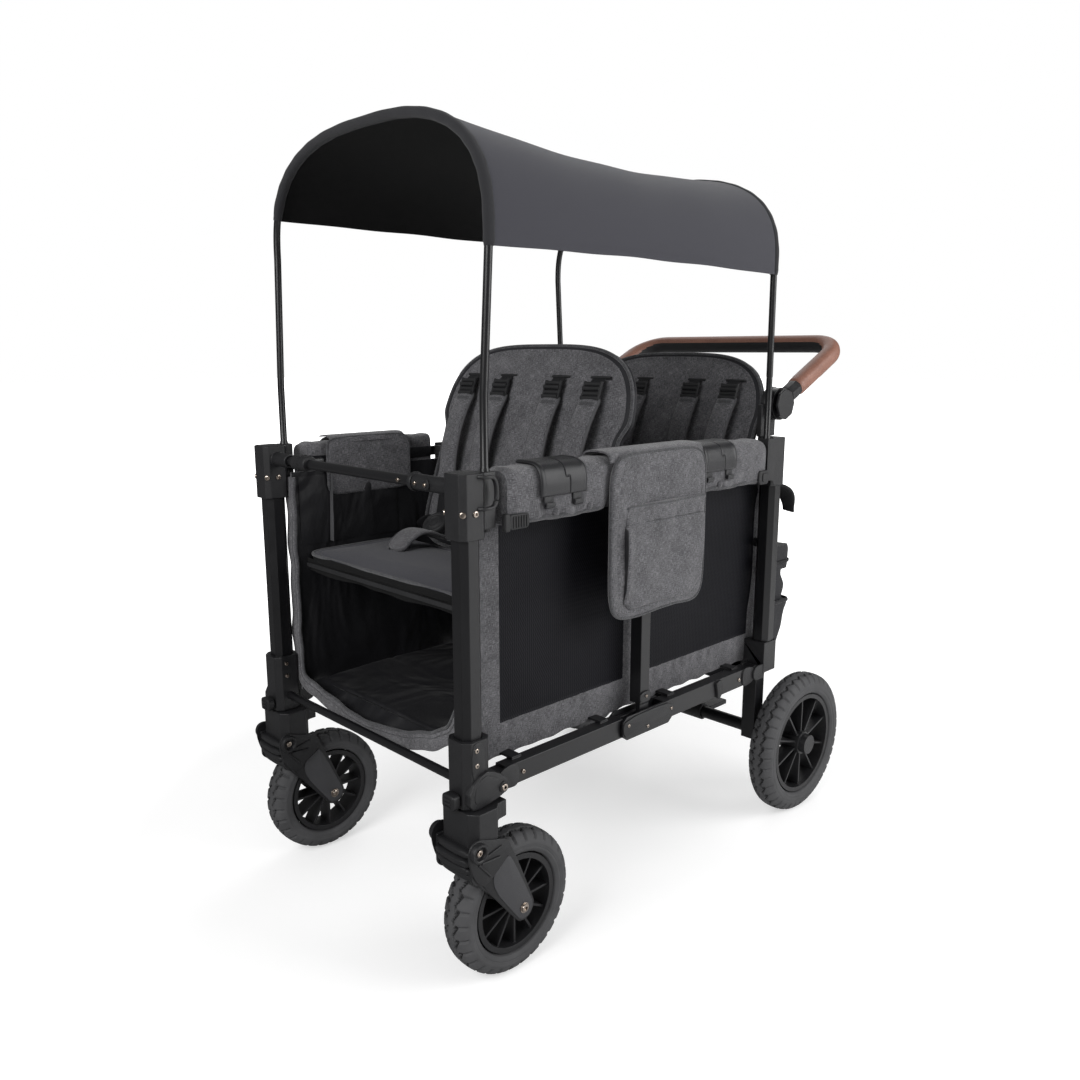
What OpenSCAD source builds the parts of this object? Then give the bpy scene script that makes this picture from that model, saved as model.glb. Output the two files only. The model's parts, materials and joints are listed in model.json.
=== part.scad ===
// Folding stroller wagon: four corner posts, side rails that break upwards in the middle,
// two bench seats, a hooped canopy, swivel casters in front and larger wheels behind.
// X runs across (left side is +X), Y along (front is -Y), Z up. Millimetres.

/* [Frame] */
// Distance of each post centre from the middle plane, across
post_x = 265; // [240:1:300]
// Distance of each post centre from the middle of the wagon, along
post_y = 385; // [360:1:430]
// Width of the square post tube
post_w = 36; // [30:1:40]
// Wall of the post tube
post_wall = 2.5; // [1.5:0.1:4]
// Chamfer on the four edges of the post tube
post_chamfer = 9; // [4:0.5:11]
// Height of the lower end of the posts
post_low = 350; // [340:1:365]
// Height of the top of the corner caps
cap_top = 785; // [760:1:820]
// Height of a corner cap
cap_h = 92; // [80:1:110]
// Width of a corner cap
cap_w = 46; // [44:1:50]
// Distance from a post centre inwards to the rail pivots, along
pivot_in = 40; // [36:1:46]
// Height of the lower rail pivots
low_pivot_z = 322; // [318:1:330]
// Height of the upper rail pivots
high_pivot_z = 752; // [735:1:760]
// Height of the lower side rail
rail_h = 34; // [28:1:34]
// Width of the lower side rail
rail_w = 24; // [20:1:24]
// Diameter of the upper side rail
top_rail_d = 26; // [20:1:26]
// Distance of the upper side rail's centre outwards from the tub wall
top_rail_out = 8; // [7:0.5:9]
// Diameter of the hinge pins
pin_d = 8; // [6:0.5:9]
// Diameter of the front cross bar at the top
bar_d = 16; // [12:1:18]
// Diameter of the front cross bar at the bottom
low_bar_d = 14; // [10:1:18]

/* [Wheels] */
// Radius of the front wheel
front_r = 114; // [105:1:116]
// Width of the front tyre
front_w = 56; // [46:1:56]
// Radius of the rim seat in the front tyre
front_rim = 79; // [70:1:84]
// Distance of the front axle behind the swivel axis
trail = 74; // [66:1:78]
// Radius of the rear wheel
rear_r = 145; // [130:1:150]
// Width of the rear tyre
rear_w = 53; // [44:1:53]
// Radius of the rim seat in the rear tyre
rear_rim = 104; // [95:1:110]
// Distance of the rear wheel's middle from the middle plane
rear_x = 296; // [296:1:310]
// Distance of the rear axle behind the rear post centres
rear_back = 93; // [85:1:110]
// Spokes of each front wheel
front_spokes = 12; // [8:1:14]
// Spokes of each rear wheel
rear_spokes = 10; // [8:1:14]
// Diameter of the front axle bolt
front_axle_d = 10; // [8:0.5:12]
// Diameter of the rear stub axle
rear_axle_d = 12; // [10:0.5:14]

/* [Seats] */
// Height of the hinge bar under each seat
seat_z = 575; // [560:1:590]
// Place of the front seat's hinge bar along the wagon
front_seat_y = -133; // [-140:1:-90]
// Place of the rear seat's hinge bar along the wagon
rear_seat_y = 272; // [260:1:276]
// Diameter of the seat hinge bar
seat_bar_d = 18; // [14:1:20]
// Clearance of a bench inside the tub wall
bench_gap = 8; // [6:1:20]
// Depth of the front bench
front_bench_d = 211; // [180:1:213]
// Depth of the rear bench
rear_bench_d = 246; // [200:1:260]
// Lean of the backrests from upright, in degrees
lean = 18.5; // [10:0.5:19]
// Length of the front backrest along its slope
back_len = 401; // [320:1:405]
// How much shorter the rear backrest is
back_short = 16; // [0:1:40]
// How far a backrest is wider on each side than a bench
back_wide = 4; // [0:1:6]
// How far the front backrest widens above the rail pads, on each side
front_flare = 16; // [0:1:26]
// How far the rear backrest widens above the rail pads, on each side
rear_flare = 6; // [0:1:8]
// Thickness of a backrest at its rim
back_edge = 20; // [14:1:22]
// Height of the crown on a cushion
crown = 8; // [4:0.5:9]

/* [Canopy] */
// Diameter of the canopy poles
pole_d = 14; // [10:0.5:15]
// Distance of the poles outwards from the post centres
pole_out = 7; // [6:0.5:8]
// Distance from a post centre inwards to its pole, along
pole_in = 31; // [30:0.5:32]
// Height where the bow starts on top of the pole
bow_z = 1100; // [1050:1:1150]
// Height of the front bow above its start
bow_height = 177; // [140:1:220]
// How far the poles bend towards each other above their sliding stretch
pole_bend = 9; // [0:0.5:14]
// Drop of the rear bow below the front bow
bow_drop = 16; // [0:1:30]
// Sag of the cloth between the bows
cloth_sag = 14; // [0:1:30]
// How far the left hem hangs below the start of the bow
hem_drop = 17; // [2:1:60]
// How far the right hem lies above the start of the bow
hem_lift = 65; // [10:1:100]
// Thickness of the canopy cloth
cloth_t = 3; // [2:0.5:5]

/* [Handle] */
// Height of the handle pivot
hub_z = 847; // [840:1:860]
// Place of the handle pivot behind the rear post centres
hub_back = 24; // [22:1:28]
// Diameter of the handle hub
hub_d = 64; // [56:1:66]
// Rise of the handle from level, in degrees
rise = 26; // [10:1:35]
// Length of the handle from its pivot to the cross grip
reach = 262; // [220:1:340]
// Diameter of the handle tube
tube_d = 28; // [22:1:28]
// Diameter of the wrapped grip
grip_d = 36; // [32:1:40]
// Bend radius of the handle corners
grip_bend = 62; // [50:1:90]

/* [Tub and bag] */
// Distance of the outside of the tub wall inwards from the posts
tub_in = 9; // [9:0.5:14]
// Thickness of the tub wall
tub_t = 4; // [3:0.5:5]
// Height of the lower edge of the tub wall
tub_low = 350; // [346:1:365]
// Height of the lower edge of the rail pads
pad_low = 700; // [690:1:720]
// Height of the top of the rail pads
pad_top = 786; // [780:1:800]
// Width of the rail pads outside the tub wall
pad_w = 54; // [50:1:58]
// Depth of the rear bag behind the posts
bag_d = 112; // [80:1:125]
// Height of the top of the rear bag
bag_top = 552; // [520:1:600]
// Height of the bottom of the rear bag
bag_low = 256; // [245:1:300]
// Width of the side pocket along the wagon
pocket_l = 240; // [180:1:240]
// Height of the lower edge of the side pocket
pocket_low = 522; // [480:1:560]

/* [Hidden] */
$fn = 48;

// Clearances: soft or idle neighbours, running fits, and the opened top middle pivot
gap = 0.3;
run = 0.05;
open_fit = 0.5;

tub_half = post_x - post_w/2 - tub_in;
top_rail_x = tub_half + top_rail_out;
pole_x = post_x + pole_out;
pad_out = tub_half + pad_w;
bench_half = tub_half - tub_t - bench_gap;
back_half = bench_half + back_wide;
rear_len = back_len - back_short;
pivot_y = post_y - pivot_in;
front_axle_y = -post_y + trail;
rear_axle_y = post_y + rear_back;
hub_y = post_y + hub_back;
hub_x = post_x - 15;
front_reach = max(-front_axle_y + front_r, post_y + cap_w/2);
rear_reach = hub_y + reach*cos(rise) + grip_d/2;
mid_y = (rear_reach - front_reach)/2;

tube_wall = 2.5;
cheek_t = 5;
cheek_x = rail_w/2 + 1.5;
eye_r = 15;
plate_t = 4.5;
tongue_t = 9;
rail_start = 22;
hinge_free = 56;
top_free = 54;
slat_t = 4;
board_t = 10;
frame_black = [0.13, 0.13, 0.14];
cloth_grey = [0.33, 0.33, 0.35];
cloth_black = [0.10, 0.10, 0.11];
steel = [0.62, 0.58, 0.55];

module place() translate([0, -mid_y, 0]) children();
module pair() {
  children();
  mirror([1, 0, 0]) children();
}
module side(s) if (s > 0) children(); else mirror([1, 0, 0]) children();
// Cylinder along X from x0 to x1 at the point y, z
module x_rod(d, x0, x1, y, z) translate([x0, y, z]) rotate([0, 90, 0]) cylinder(d = d, h = x1 - x0);
// Box between two corners
module span(a, b) translate(a) cube(b - a);
// Square tube section with chamfered edges, about its own centre
module chamfered(w, c) polygon([
  [w/2, -w/2 + c], [w/2, w/2 - c], [w/2 - c, w/2], [-w/2 + c, w/2],
  [-w/2, w/2 - c], [-w/2, -w/2 + c], [-w/2 + c, -w/2], [w/2 - c, -w/2]]);

// Posts, caps and brackets
module post(y) translate([post_x, y, post_low]) linear_extrude(cap_top - 6 - post_low) difference() {
  chamfered(post_w, post_chamfer);
  chamfered(post_w - 2*post_wall, post_chamfer - post_wall*0.6);
}
module front_posts() color(frame_black) place() pair() post(-post_y);
module rear_posts() color(frame_black) place() pair() post(post_y);

// Corner cap with the canopy pole's socket and the upper rail's pivot pin, for the front left corner
module cap() {
  socket_y = -post_y + pole_in;
  socket_w = pole_d + 8;
  difference() {
    union() {
      translate([post_x, -post_y, cap_top - cap_h]) linear_extrude(cap_h) chamfered(cap_w, 8);
      span([pole_x - socket_w/2, -post_y + cap_w/2 - 4, cap_top - 80],
           [pole_x + socket_w/2, socket_y + socket_w/2, cap_top]);
      x_rod(pin_d + 2, tub_half + 1, pole_x - pole_d/2 - 1, -pivot_y, high_pivot_z);
    }
    translate([post_x, -post_y, cap_top - cap_h - 1]) linear_extrude(cap_h - 4) chamfered(post_w + 2*run, post_chamfer);
    translate([pole_x, socket_y, cap_top - 81]) cylinder(d = pole_d + 4*run, h = 82);
  }
}
// Arms on the front caps that hold the top cross bar
arm_d = bar_d + 8;
bar_z = cap_top - 23;
left_arm = 92;
right_arm = 46;
bar_seat = 30;
module bar_arm(len) {
  x1 = post_x - cap_w/2 + 1;
  difference() {
    x_rod(arm_d, x1 - len, x1, -post_y, bar_z);
    x_rod(bar_d + 4*run, x1 - len - 1, x1 - len + bar_seat, -post_y, bar_z);
  }
}
module front_caps() color(frame_black) place() {
  cap();
  mirror([1, 0, 0]) cap();
  bar_arm(left_arm);
  mirror([1, 0, 0]) bar_arm(right_arm);
}
module rear_caps() color(frame_black) place() pair() mirror([0, 1, 0]) cap();

// Lower bracket of a front post: post seat, caster bore and clevis for the lower rail
bracket_w = 50;
bracket_low = 301;
bracket_top = 403;
stem_d = 14;
module cheeks(y_root) for (s = [-1, 1])
  translate([post_x + s*(cheek_x + cheek_t/2) - cheek_t/2, 0, 0]) {
    span([0, y_root, low_pivot_z - eye_r], [cheek_t, -pivot_y, low_pivot_z + eye_r]);
    x_rod(2*eye_r, 0, cheek_t, -pivot_y, low_pivot_z);
  }
module clevis_pin() x_rod(pin_d, post_x - cheek_x - cheek_t, post_x + cheek_x + cheek_t, -pivot_y, low_pivot_z);
module front_bracket() {
  difference() {
    translate([post_x, -post_y, bracket_low]) linear_extrude(bracket_top - bracket_low) chamfered(bracket_w, 10);
    translate([post_x, -post_y, post_low]) linear_extrude(200) chamfered(post_w + 2*run, post_chamfer);
    translate([post_x, -post_y, bracket_low - 1]) cylinder(d = stem_d + 2*run, h = 41);
  }
  cheeks(-post_y + bracket_w/2 - 3);
  clevis_pin();
}
module front_brackets() color(frame_black) place() pair() front_bracket();
module front_bars() color(frame_black) place() {
  inner = post_x - cap_w/2 + 1;
  x_rod(bar_d, -inner + right_arm - bar_seat + gap, inner - left_arm + bar_seat - gap, -post_y, bar_z);
  x_rod(low_bar_d, -post_x + bracket_w/2, post_x - bracket_w/2, -post_y, low_pivot_z + 6);
}
screw_d = 9;
screw_h = 2;
module front_screws() color(steel) place() pair() {
  for (dx = [-7, 7]) translate([post_x + dx, -post_y - cap_w/2, cap_top - cap_h + 20])
    rotate([90, 0, 0]) cylinder(d = screw_d, h = screw_h);
  for (z = [bracket_top - 16, bracket_top - 38]) translate([post_x + 4, -post_y - bracket_w/2, z])
    rotate([90, 0, 0]) cylinder(d = screw_d, h = screw_h);
}
lock_z = 314;
module swivel_lock(s) color(frame_black) place() side(s)
  span([post_x - 9, -post_y - bracket_w/2 - 6, lock_z], [post_x + 9, -post_y - bracket_w/2 - gap, lock_z + 24]);
module swivel_lock_left() swivel_lock(1);
module swivel_lock_right() swivel_lock(-1);

// Casters, drawn about the swivel axis of the left corner
fork_y = -17;
fork_z = 206;
ear_t = 5.5;
plate_in = front_w/2 + 1.5;
fork_t = 6;
ear_in = plate_in + fork_t + 0.5;
ear_out = ear_in + ear_t;
housing_low = 246;
collar_h = 26;
collar_back = 46;
module at_caster() place() translate([post_x, -post_y, 0]) children();
module caster_housing() at_caster() {
  difference() {
    union() {
      translate([0, 0, housing_low]) linear_extrude(bracket_low - 1 - housing_low) polygon([
        [ear_out, -16], [ear_out, 18], [ear_out - 12, 30], [-ear_out + 12, 30],
        [-ear_out, 18], [-ear_out, -16], [-ear_out + 14, -27], [ear_out - 14, -27]]);
      translate([0, 0, bracket_low - 1 - collar_h]) linear_extrude(collar_h) polygon([
        [ear_out - 7, 10], [ear_out - 11, collar_back], [-ear_out + 11, collar_back], [-ear_out + 7, 10]]);
      translate([0, 0, bracket_low - 2]) cylinder(d = stem_d, h = 40);
      for (s = [-1, 1]) translate([s*(ear_in + ear_t/2) - ear_t/2, 0, 0]) {
        span([0, fork_y - eye_r, fork_z], [ear_t, fork_y + eye_r, housing_low + 1]);
        x_rod(2*eye_r, 0, ear_t, fork_y, fork_z);
      }
    }
    x_rod(pin_d + 2*run, -80, 80, fork_y, fork_z);
  }
}
// Fork: two broad tapering blades joined over the tyre by a crown
crown_low = 2*front_r + 5;
crown_top = housing_low - 8;
module caster_fork() at_caster() {
  for (s = [-1, 1]) translate([s*(plate_in + fork_t/2) - fork_t/2, 0, 0]) difference() {
    union() {
      x_rod(26, 0, fork_t, fork_y, fork_z);
      x_rod(34, 0, fork_t, trail, front_r);
      translate([fork_t, 0, 0]) rotate([0, -90, 0]) linear_extrude(fork_t) polygon([
        [crown_top - 8, fork_y - 6], [crown_top, fork_y + 6], [crown_top, fork_y + 60], [crown_top - 12, fork_y + 66],
        [front_r + 7, trail + 15], [front_r - 12, trail - 11], [fork_z - 9, fork_y - 8]]);
    }
    x_rod(front_axle_d + 2*run, -1, fork_t + 1, trail, front_r);
  }
  span([-plate_in - 0.5, fork_y + 8, crown_low], [plate_in + 0.5, fork_y + 58, crown_top]);
  x_rod(18, -plate_in - 0.5, plate_in + 0.5, fork_y, fork_z);
  x_rod(pin_d, -ear_out, ear_out, fork_y, fork_z);
}
module front_axle() at_caster() {
  end = plate_in + fork_t;
  x_rod(front_axle_d, -end, end, trail, front_r);
  x_rod(17, end, end + 4, trail, front_r);
  x_rod(17, -end - 4, -end, trail, front_r);
}
module tyre(r, w, rim) rotate([0, 90, 0]) rotate_extrude() polygon([
  [rim, -w/2 + 6], [rim + 8, -w/2 + 1], [r - 16, -w/2], [r - 5, -w/2 + 7], [r, -w/2 + 16],
  [r, w/2 - 16], [r - 5, w/2 - 7], [r - 16, w/2], [rim + 8, w/2 - 1], [rim, w/2 - 6]]);
module rim(r, w, hub, bore, spokes) difference() {
  union() {
    rotate([0, 90, 0]) rotate_extrude() translate([r - 9, -w/2]) square([9 - 2*run, w]);
    x_rod(2*hub, -w/2, w/2, 0, 0);
    for (k = [0:spokes - 1]) rotate([360*k/spokes, 0, 0]) span([-w/2 + 6, -2, hub - 2], [w/2 - 6, 2, r - 7]);
  }
  x_rod(bore, -w, w, 0, 0);
}
module at_front_wheel() at_caster() translate([0, trail, front_r]) children();
module front_tyre() at_front_wheel() tyre(front_r, front_w, front_rim);
module front_rim_part() at_front_wheel() rim(front_rim, front_w - 12, 17, front_axle_d + 2*run, front_spokes);
module caster_housing_left() color(frame_black) caster_housing();
module caster_housing_right() color(frame_black) mirror([1, 0, 0]) caster_housing();
module caster_fork_left() color(frame_black) caster_fork();
module caster_fork_right() color(frame_black) mirror([1, 0, 0]) caster_fork();
module front_rim_left() color(frame_black) front_rim_part();
module front_rim_right() color(frame_black) mirror([1, 0, 0]) front_rim_part();
module front_tyre_left() color(cloth_grey) front_tyre();
module front_tyre_right() color(cloth_grey) mirror([1, 0, 0]) front_tyre();
module front_axle_left() color(steel) front_axle();
module front_axle_right() color(steel) mirror([1, 0, 0]) front_axle();

// Lower side rails, with the floor boards on cross slats
module low_rail_bar(y0, y1, in = 0) span([post_x - rail_w/2 + in, y0, low_pivot_z - rail_h/2 + in],
                                         [post_x + rail_w/2 - in, y1, low_pivot_z + rail_h/2 - in]);
module rail_eye(y) x_rod(2*eye_r, post_x - rail_w/2, post_x + rail_w/2, y, low_pivot_z);
module rail_neck(y0, y1, x0, x1) span([x0, y0, low_pivot_z - eye_r + 2], [x1, y1, low_pivot_z + eye_r - 2]);
module slat(y) span([-post_x, y - 10, low_pivot_z + rail_h/2], [post_x, y + 10, low_pivot_z + rail_h/2 + slat_t]);
slat_outer = 290;
slat_inner = 90;
tongue_x = post_x - rail_w/2 + 0.5;
plate_hole = low_pivot_z;
bolt_y = 64;
bolt_dz = 9;
bolt_d = 6;
module lower_front_rails() color(frame_black) place() {
  pair() difference() {
    union() {
      low_rail_bar(-pivot_y + rail_start, -hinge_free);
      rail_eye(-pivot_y);
      rail_neck(-pivot_y, -pivot_y + rail_start + 1, post_x - rail_w/2, post_x + rail_w/2);
      rail_neck(-hinge_free - 1, 0, tongue_x, tongue_x + tongue_t);
      x_rod(2*eye_r - 4, tongue_x, tongue_x + tongue_t, 0, low_pivot_z);
    }
    low_rail_bar(-pivot_y + rail_start + 8, -hinge_free - 8, tube_wall);
    x_rod(pin_d + 2*run, 0, 2*post_x, -pivot_y, low_pivot_z);
    x_rod(pin_d + 2*run, 0, 2*post_x, 0, low_pivot_z);
  }
  slat(-slat_outer);
  slat(-slat_inner);
}
module lower_rear_rails() color(frame_black) place() {
  pair() difference() {
    union() {
      low_rail_bar(hinge_free, pivot_y - rail_start);
      rail_eye(pivot_y);
      rail_neck(pivot_y - rail_start - 1, pivot_y, post_x - rail_w/2, post_x + rail_w/2);
    }
    low_rail_bar(bolt_y + 14, pivot_y - rail_start - 8, tube_wall);
    x_rod(pin_d + 2*run, 0, 2*post_x, pivot_y, low_pivot_z);
    for (s = [-1, 1]) x_rod(bolt_d + 2*run, 0, 2*post_x, bolt_y, low_pivot_z + s*bolt_dz);
  }
  slat(slat_outer);
  slat(slat_inner);
}
// Middle hinge: cheek plates bolted to the rear rails, and the pin that the front rail and post turn on
module hinge_plates() color(frame_black) place() pair() {
  x_in = post_x - rail_w/2 - 1 - plate_t;
  x_out = post_x + rail_w/2 + 1;
  for (x = [x_in, x_out]) translate([x, 0, low_pivot_z]) rotate([90, 0, 90]) linear_extrude(plate_t) polygon([
    [-62, -14], [-50, -22], [62, -22], [74, -12], [74, 12], [62, 20], [-50, 20], [-62, 12]]);
  x_rod(pin_d, x_in + 1, x_out + 1, 0, low_pivot_z);
  for (s = [-1, 1]) x_rod(bolt_d, x_in + 1, x_out + 1, bolt_y, low_pivot_z + s*bolt_dz);
}
board_z = low_pivot_z + rail_h/2 + slat_t;
board_half = tub_half - tub_t - 6;
board_end = pivot_y - 15;
module front_floor() color(cloth_black) place() span([-board_half, -board_end, board_z], [board_half, -4, board_z + board_t]);
module rear_floor() color(cloth_black) place() span([-board_half, 4, board_z], [board_half, board_end, board_z + board_t]);

// Middle posts, standing on the lower hinge pin, with a pin at the top for the upper rails
mid_post_low = low_pivot_z + rail_h/2 + 13;
mid_half = 12;
module centre_posts() color(frame_black) place() pair() {
  difference() {
    union() {
      span([post_x - rail_w/2, -mid_half, mid_post_low], [post_x + rail_w/2, mid_half, high_pivot_z + mid_half]);
      span([post_x + 2, -mid_half, low_pivot_z], [post_x + rail_w/2 - 0.5, mid_half, mid_post_low + 1]);
      x_rod(2*mid_half, post_x + 2, post_x + rail_w/2 - 0.5, 0, low_pivot_z);
    }
    x_rod(pin_d + 2*run, 0, 2*post_x, 0, low_pivot_z);
  }
  x_rod(pin_d, tub_half + 1.5, post_x - rail_w/2 + 1, 0, high_pivot_z);
}

// Upper side rails: round tubes with an eye on the cap's pin and a tongue on the middle post's pin
module top_rail(tongue) difference() {
  union() {
    translate([top_rail_x, -pivot_y + 14, high_pivot_z]) rotate([-90, 0, 0]) cylinder(d = top_rail_d, h = pivot_y - 14 - top_free);
    x_rod(top_rail_d - 2, tub_half + 1.5, pole_x - pole_d/2 - 6, -pivot_y, high_pivot_z);
    span([tub_half + 1.5, -pivot_y, high_pivot_z - 9], [pole_x - pole_d/2 - 6, -pivot_y + 18, high_pivot_z + 9]);
    span([tongue, -top_free - 2, high_pivot_z - 9], [tongue + 5, 0, high_pivot_z + 9]);
    x_rod(20, tongue, tongue + 5, 0, high_pivot_z);
  }
  translate([top_rail_x, -pivot_y + 30, high_pivot_z]) rotate([-90, 0, 0])
    cylinder(d = top_rail_d - 2*tube_wall, h = pivot_y - 30 - top_free - 12);
  x_rod(pin_d + 2 + 2*run, 0, 2*post_x, -pivot_y, high_pivot_z);
  x_rod(pin_d + 2*open_fit, 0, 2*post_x, 0, high_pivot_z);
}
front_tongue = tub_half + 8.2;
rear_tongue = tub_half + 2.4;
module upper_front_rails() color(frame_black) place() pair() top_rail(front_tongue);
module upper_rear_rails() color(frame_black) place() pair() mirror([0, 1, 0]) top_rail(rear_tongue);

// Padded cloth covers on the upper rails: full height on the open stretch, thin towards the middle
pad_start = pivot_y - 20;
pad_full = 158;
pad_end = 50;
module pad_section(low) difference() {
  hull() {
    translate([tub_half + gap + 12, pad_top - 12]) circle(12);
    translate([pad_out - 22, pad_top - 22]) circle(22);
    translate([pad_out - 16, low + 16]) circle(16);
    translate([tub_half + gap + 8, low + 8]) circle(8);
  }
  translate([top_rail_x, high_pivot_z]) circle(d = top_rail_d + 2*gap);
}
module rail_pad() {
  translate([0, -pad_full, 0]) rotate([90, 0, 0]) linear_extrude(pad_start - pad_full) pad_section(pad_low);
  translate([0, -pad_end, 0]) rotate([90, 0, 0]) linear_extrude(pad_full - pad_end) pad_section(high_pivot_z - top_rail_d/2 - 8);
}
module front_rail_pads() color(cloth_grey) place() pair() rail_pad();
module rear_rail_pads() color(cloth_grey) place() pair() mirror([0, 1, 0]) rail_pad();
// Saddle clips that grip the padded rails
clip_l = 88;
front_clip_y = -213;
rear_clip_y = 180;
module rail_clip(y) translate([0, y, 0]) {
  outer = pad_out + gap;
  span([tub_half + 6, -clip_l/2, pad_top + gap], [outer + 6, clip_l/2, pad_top + 6]);
  span([outer, -clip_l/2, pad_top - 44], [outer + 6, clip_l/2, pad_top + 6]);
  for (s = [-1, 1]) span([outer, s*clip_l*0.34 - 9, pad_top - 62], [outer + 8, s*clip_l*0.34 + 9, pad_top - 43]);
}
module front_rail_clips() color(frame_black) place() pair() rail_clip(front_clip_y);
module rear_rail_clips() color(frame_black) place() pair() rail_clip(rear_clip_y);

// Cushions: a rim outline carried inwards over a crown on both faces
function signed_pow(v, e) = sign(v)*pow(abs(v), e);
// Outline with square lower corners, rounder upper ones that may flare, and sides drawn in between them
function cushion_outline(hw, hh, n_top, n_low, draw, flare = 0, count = 48) = [for (k = [0:count - 1])
  let (a = 360*(k + 0.5)/count, n = sin(a) > 0 ? n_top : n_low, wide = hw + flare*min(max((sin(a) - 0.08)/0.1, 0), 1))
  [wide*signed_pow(cos(a), 2/n) - draw*signed_pow(cos(a), 7), hh*signed_pow(sin(a), 2/n) - draw*signed_pow(sin(a), 7)]];
module cushion(outline, edge, top, under, rings = 6) {
  n = len(outline);
  levels = concat(
    [for (k = [rings - 1:-1:0]) [cos(90*k/rings), -edge/2 - under*sin(90*k/rings)]],
    [for (k = [0:rings - 1]) [cos(90*k/rings), edge/2 + top*sin(90*k/rings)]]);
  points = concat(
    [for (l = levels) for (p = outline) [p.x*l[0], p.y*l[0], l[1]]],
    [[0, 0, -edge/2 - under], [0, 0, edge/2 + top]]);
  last = len(levels) - 1;
  faces = concat(
    [for (i = [0:last - 1]) for (j = [0:n - 1]) let (k = (j + 1)%n) [i*n + j, (i + 1)*n + j, (i + 1)*n + k]],
    [for (i = [0:last - 1]) for (j = [0:n - 1]) let (k = (j + 1)%n) [i*n + j, (i + 1)*n + k, i*n + k]],
    [for (j = [0:n - 1]) [j, (j + 1)%n, len(points) - 2]],
    [for (j = [0:n - 1]) [last*n + j, len(points) - 1, last*n + (j + 1)%n]]);
  polyhedron(points, faces);
}
// Bench: a board hinged on the seat bar by two lugs, and the cushion on it
bench_board = 8;
bench_pad = 18;
lug_x = 110;
lug_w = 30;
lug_d = seat_bar_d + 12;
module bench(y, depth) translate([0, y, seat_z]) {
  front = -depth - 12;
  board_top = bench_board/2 - 2;
  difference() {
    union() {
      span([-bench_half + 6, front + 6, -bench_board/2 - 2], [bench_half - 6, -12, board_top]);
      pair() x_rod(lug_d, lug_x, lug_x + lug_w, 0, 0);
      pair() span([lug_x, -14, -bench_board/2 - 2], [lug_x + lug_w, 0, board_top]);
    }
    x_rod(seat_bar_d + 2*run, -bench_half, bench_half, 0, 0);
  }
  translate([0, front + depth/2, board_top + gap + bench_pad/2])
    cushion(cushion_outline(bench_half, depth/2 - 4, 9, 9, 5), bench_pad, crown/2, 0);
}
module front_bench() color(cloth_grey) place() bench(front_seat_y, front_bench_d);
module rear_bench() color(cloth_grey) place() bench(rear_seat_y, rear_bench_d);

// Seat bar: hinge bar with side plates to its posts and two stays behind the backrest
back_off = 44;
back_low = 16;
stay_x = 165;
module sloped(y) translate([0, y, seat_z]) rotate([-lean, 0, 0]) children();
module seat_bar(y, arm_end, arm_side, len) {
  x_rod(seat_bar_d, -arm_side + 1, arm_side - 1, y, seat_z);
  pair() span([arm_side - 5, y - 14, seat_z - 14], [arm_side, arm_end, seat_z + 14]);
  back = back_off + back_edge/2 + gap;
  pair() sloped(y) span([stay_x, back, -4], [stay_x + 22, back + 5, len*0.8]);
  pair() span([stay_x, y - 4, seat_z - 7], [stay_x + 22, y + back + 8, seat_z + 2]);
}
// The side plates stay inside the tub wall, clear of the rails' sweep; a stub or bar reaches the posts
seat_arm_x = tub_half - tub_t - 2;
module front_seat_bar() color(frame_black) place() {
  seat_bar(front_seat_y, 12, seat_arm_x, back_len);
  pair() x_rod(seat_bar_d, seat_arm_x - 4, post_x - rail_w/2, 0, seat_z);
}
module rear_seat_bar() color(frame_black) place() {
  seat_bar(rear_seat_y, post_y + 2, seat_arm_x, rear_len);
  x_rod(seat_bar_d, -post_x + post_w/2, post_x - post_w/2, post_y, seat_z);
}
module backrest(y, len, flare) sloped(y) translate([0, back_off, back_low + len/2]) rotate([90, 0, 0])
  cushion(cushion_outline(back_half, len/2, 3.5, 7, 4, flare), back_edge, crown, 0);
module front_backrest() color(cloth_grey) place() backrest(front_seat_y, back_len, front_flare);
module rear_backrest() color(cloth_grey) place() backrest(rear_seat_y, rear_len, rear_flare);
// Shoulder pads of the harness, hanging on the front of a backrest
strap_w = 38;
strap_t = 8;
strap_at = [for (k = [-1, -0.42, 0.42, 1]) k*back_half*0.705];
module harness(y, len) sloped(y) for (x = strap_at) {
  seat = back_off - back_edge/2 - crown*(abs(x) > back_half/2 ? 0.77 : 1) - gap;
  span([x - strap_w/2, seat - strap_t, len*0.34], [x + strap_w/2, seat, len*0.83]);
}
module front_harness() color(cloth_black) place() harness(front_seat_y, back_len);
module rear_harness() color(cloth_black) place() harness(rear_seat_y, rear_len);

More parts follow.
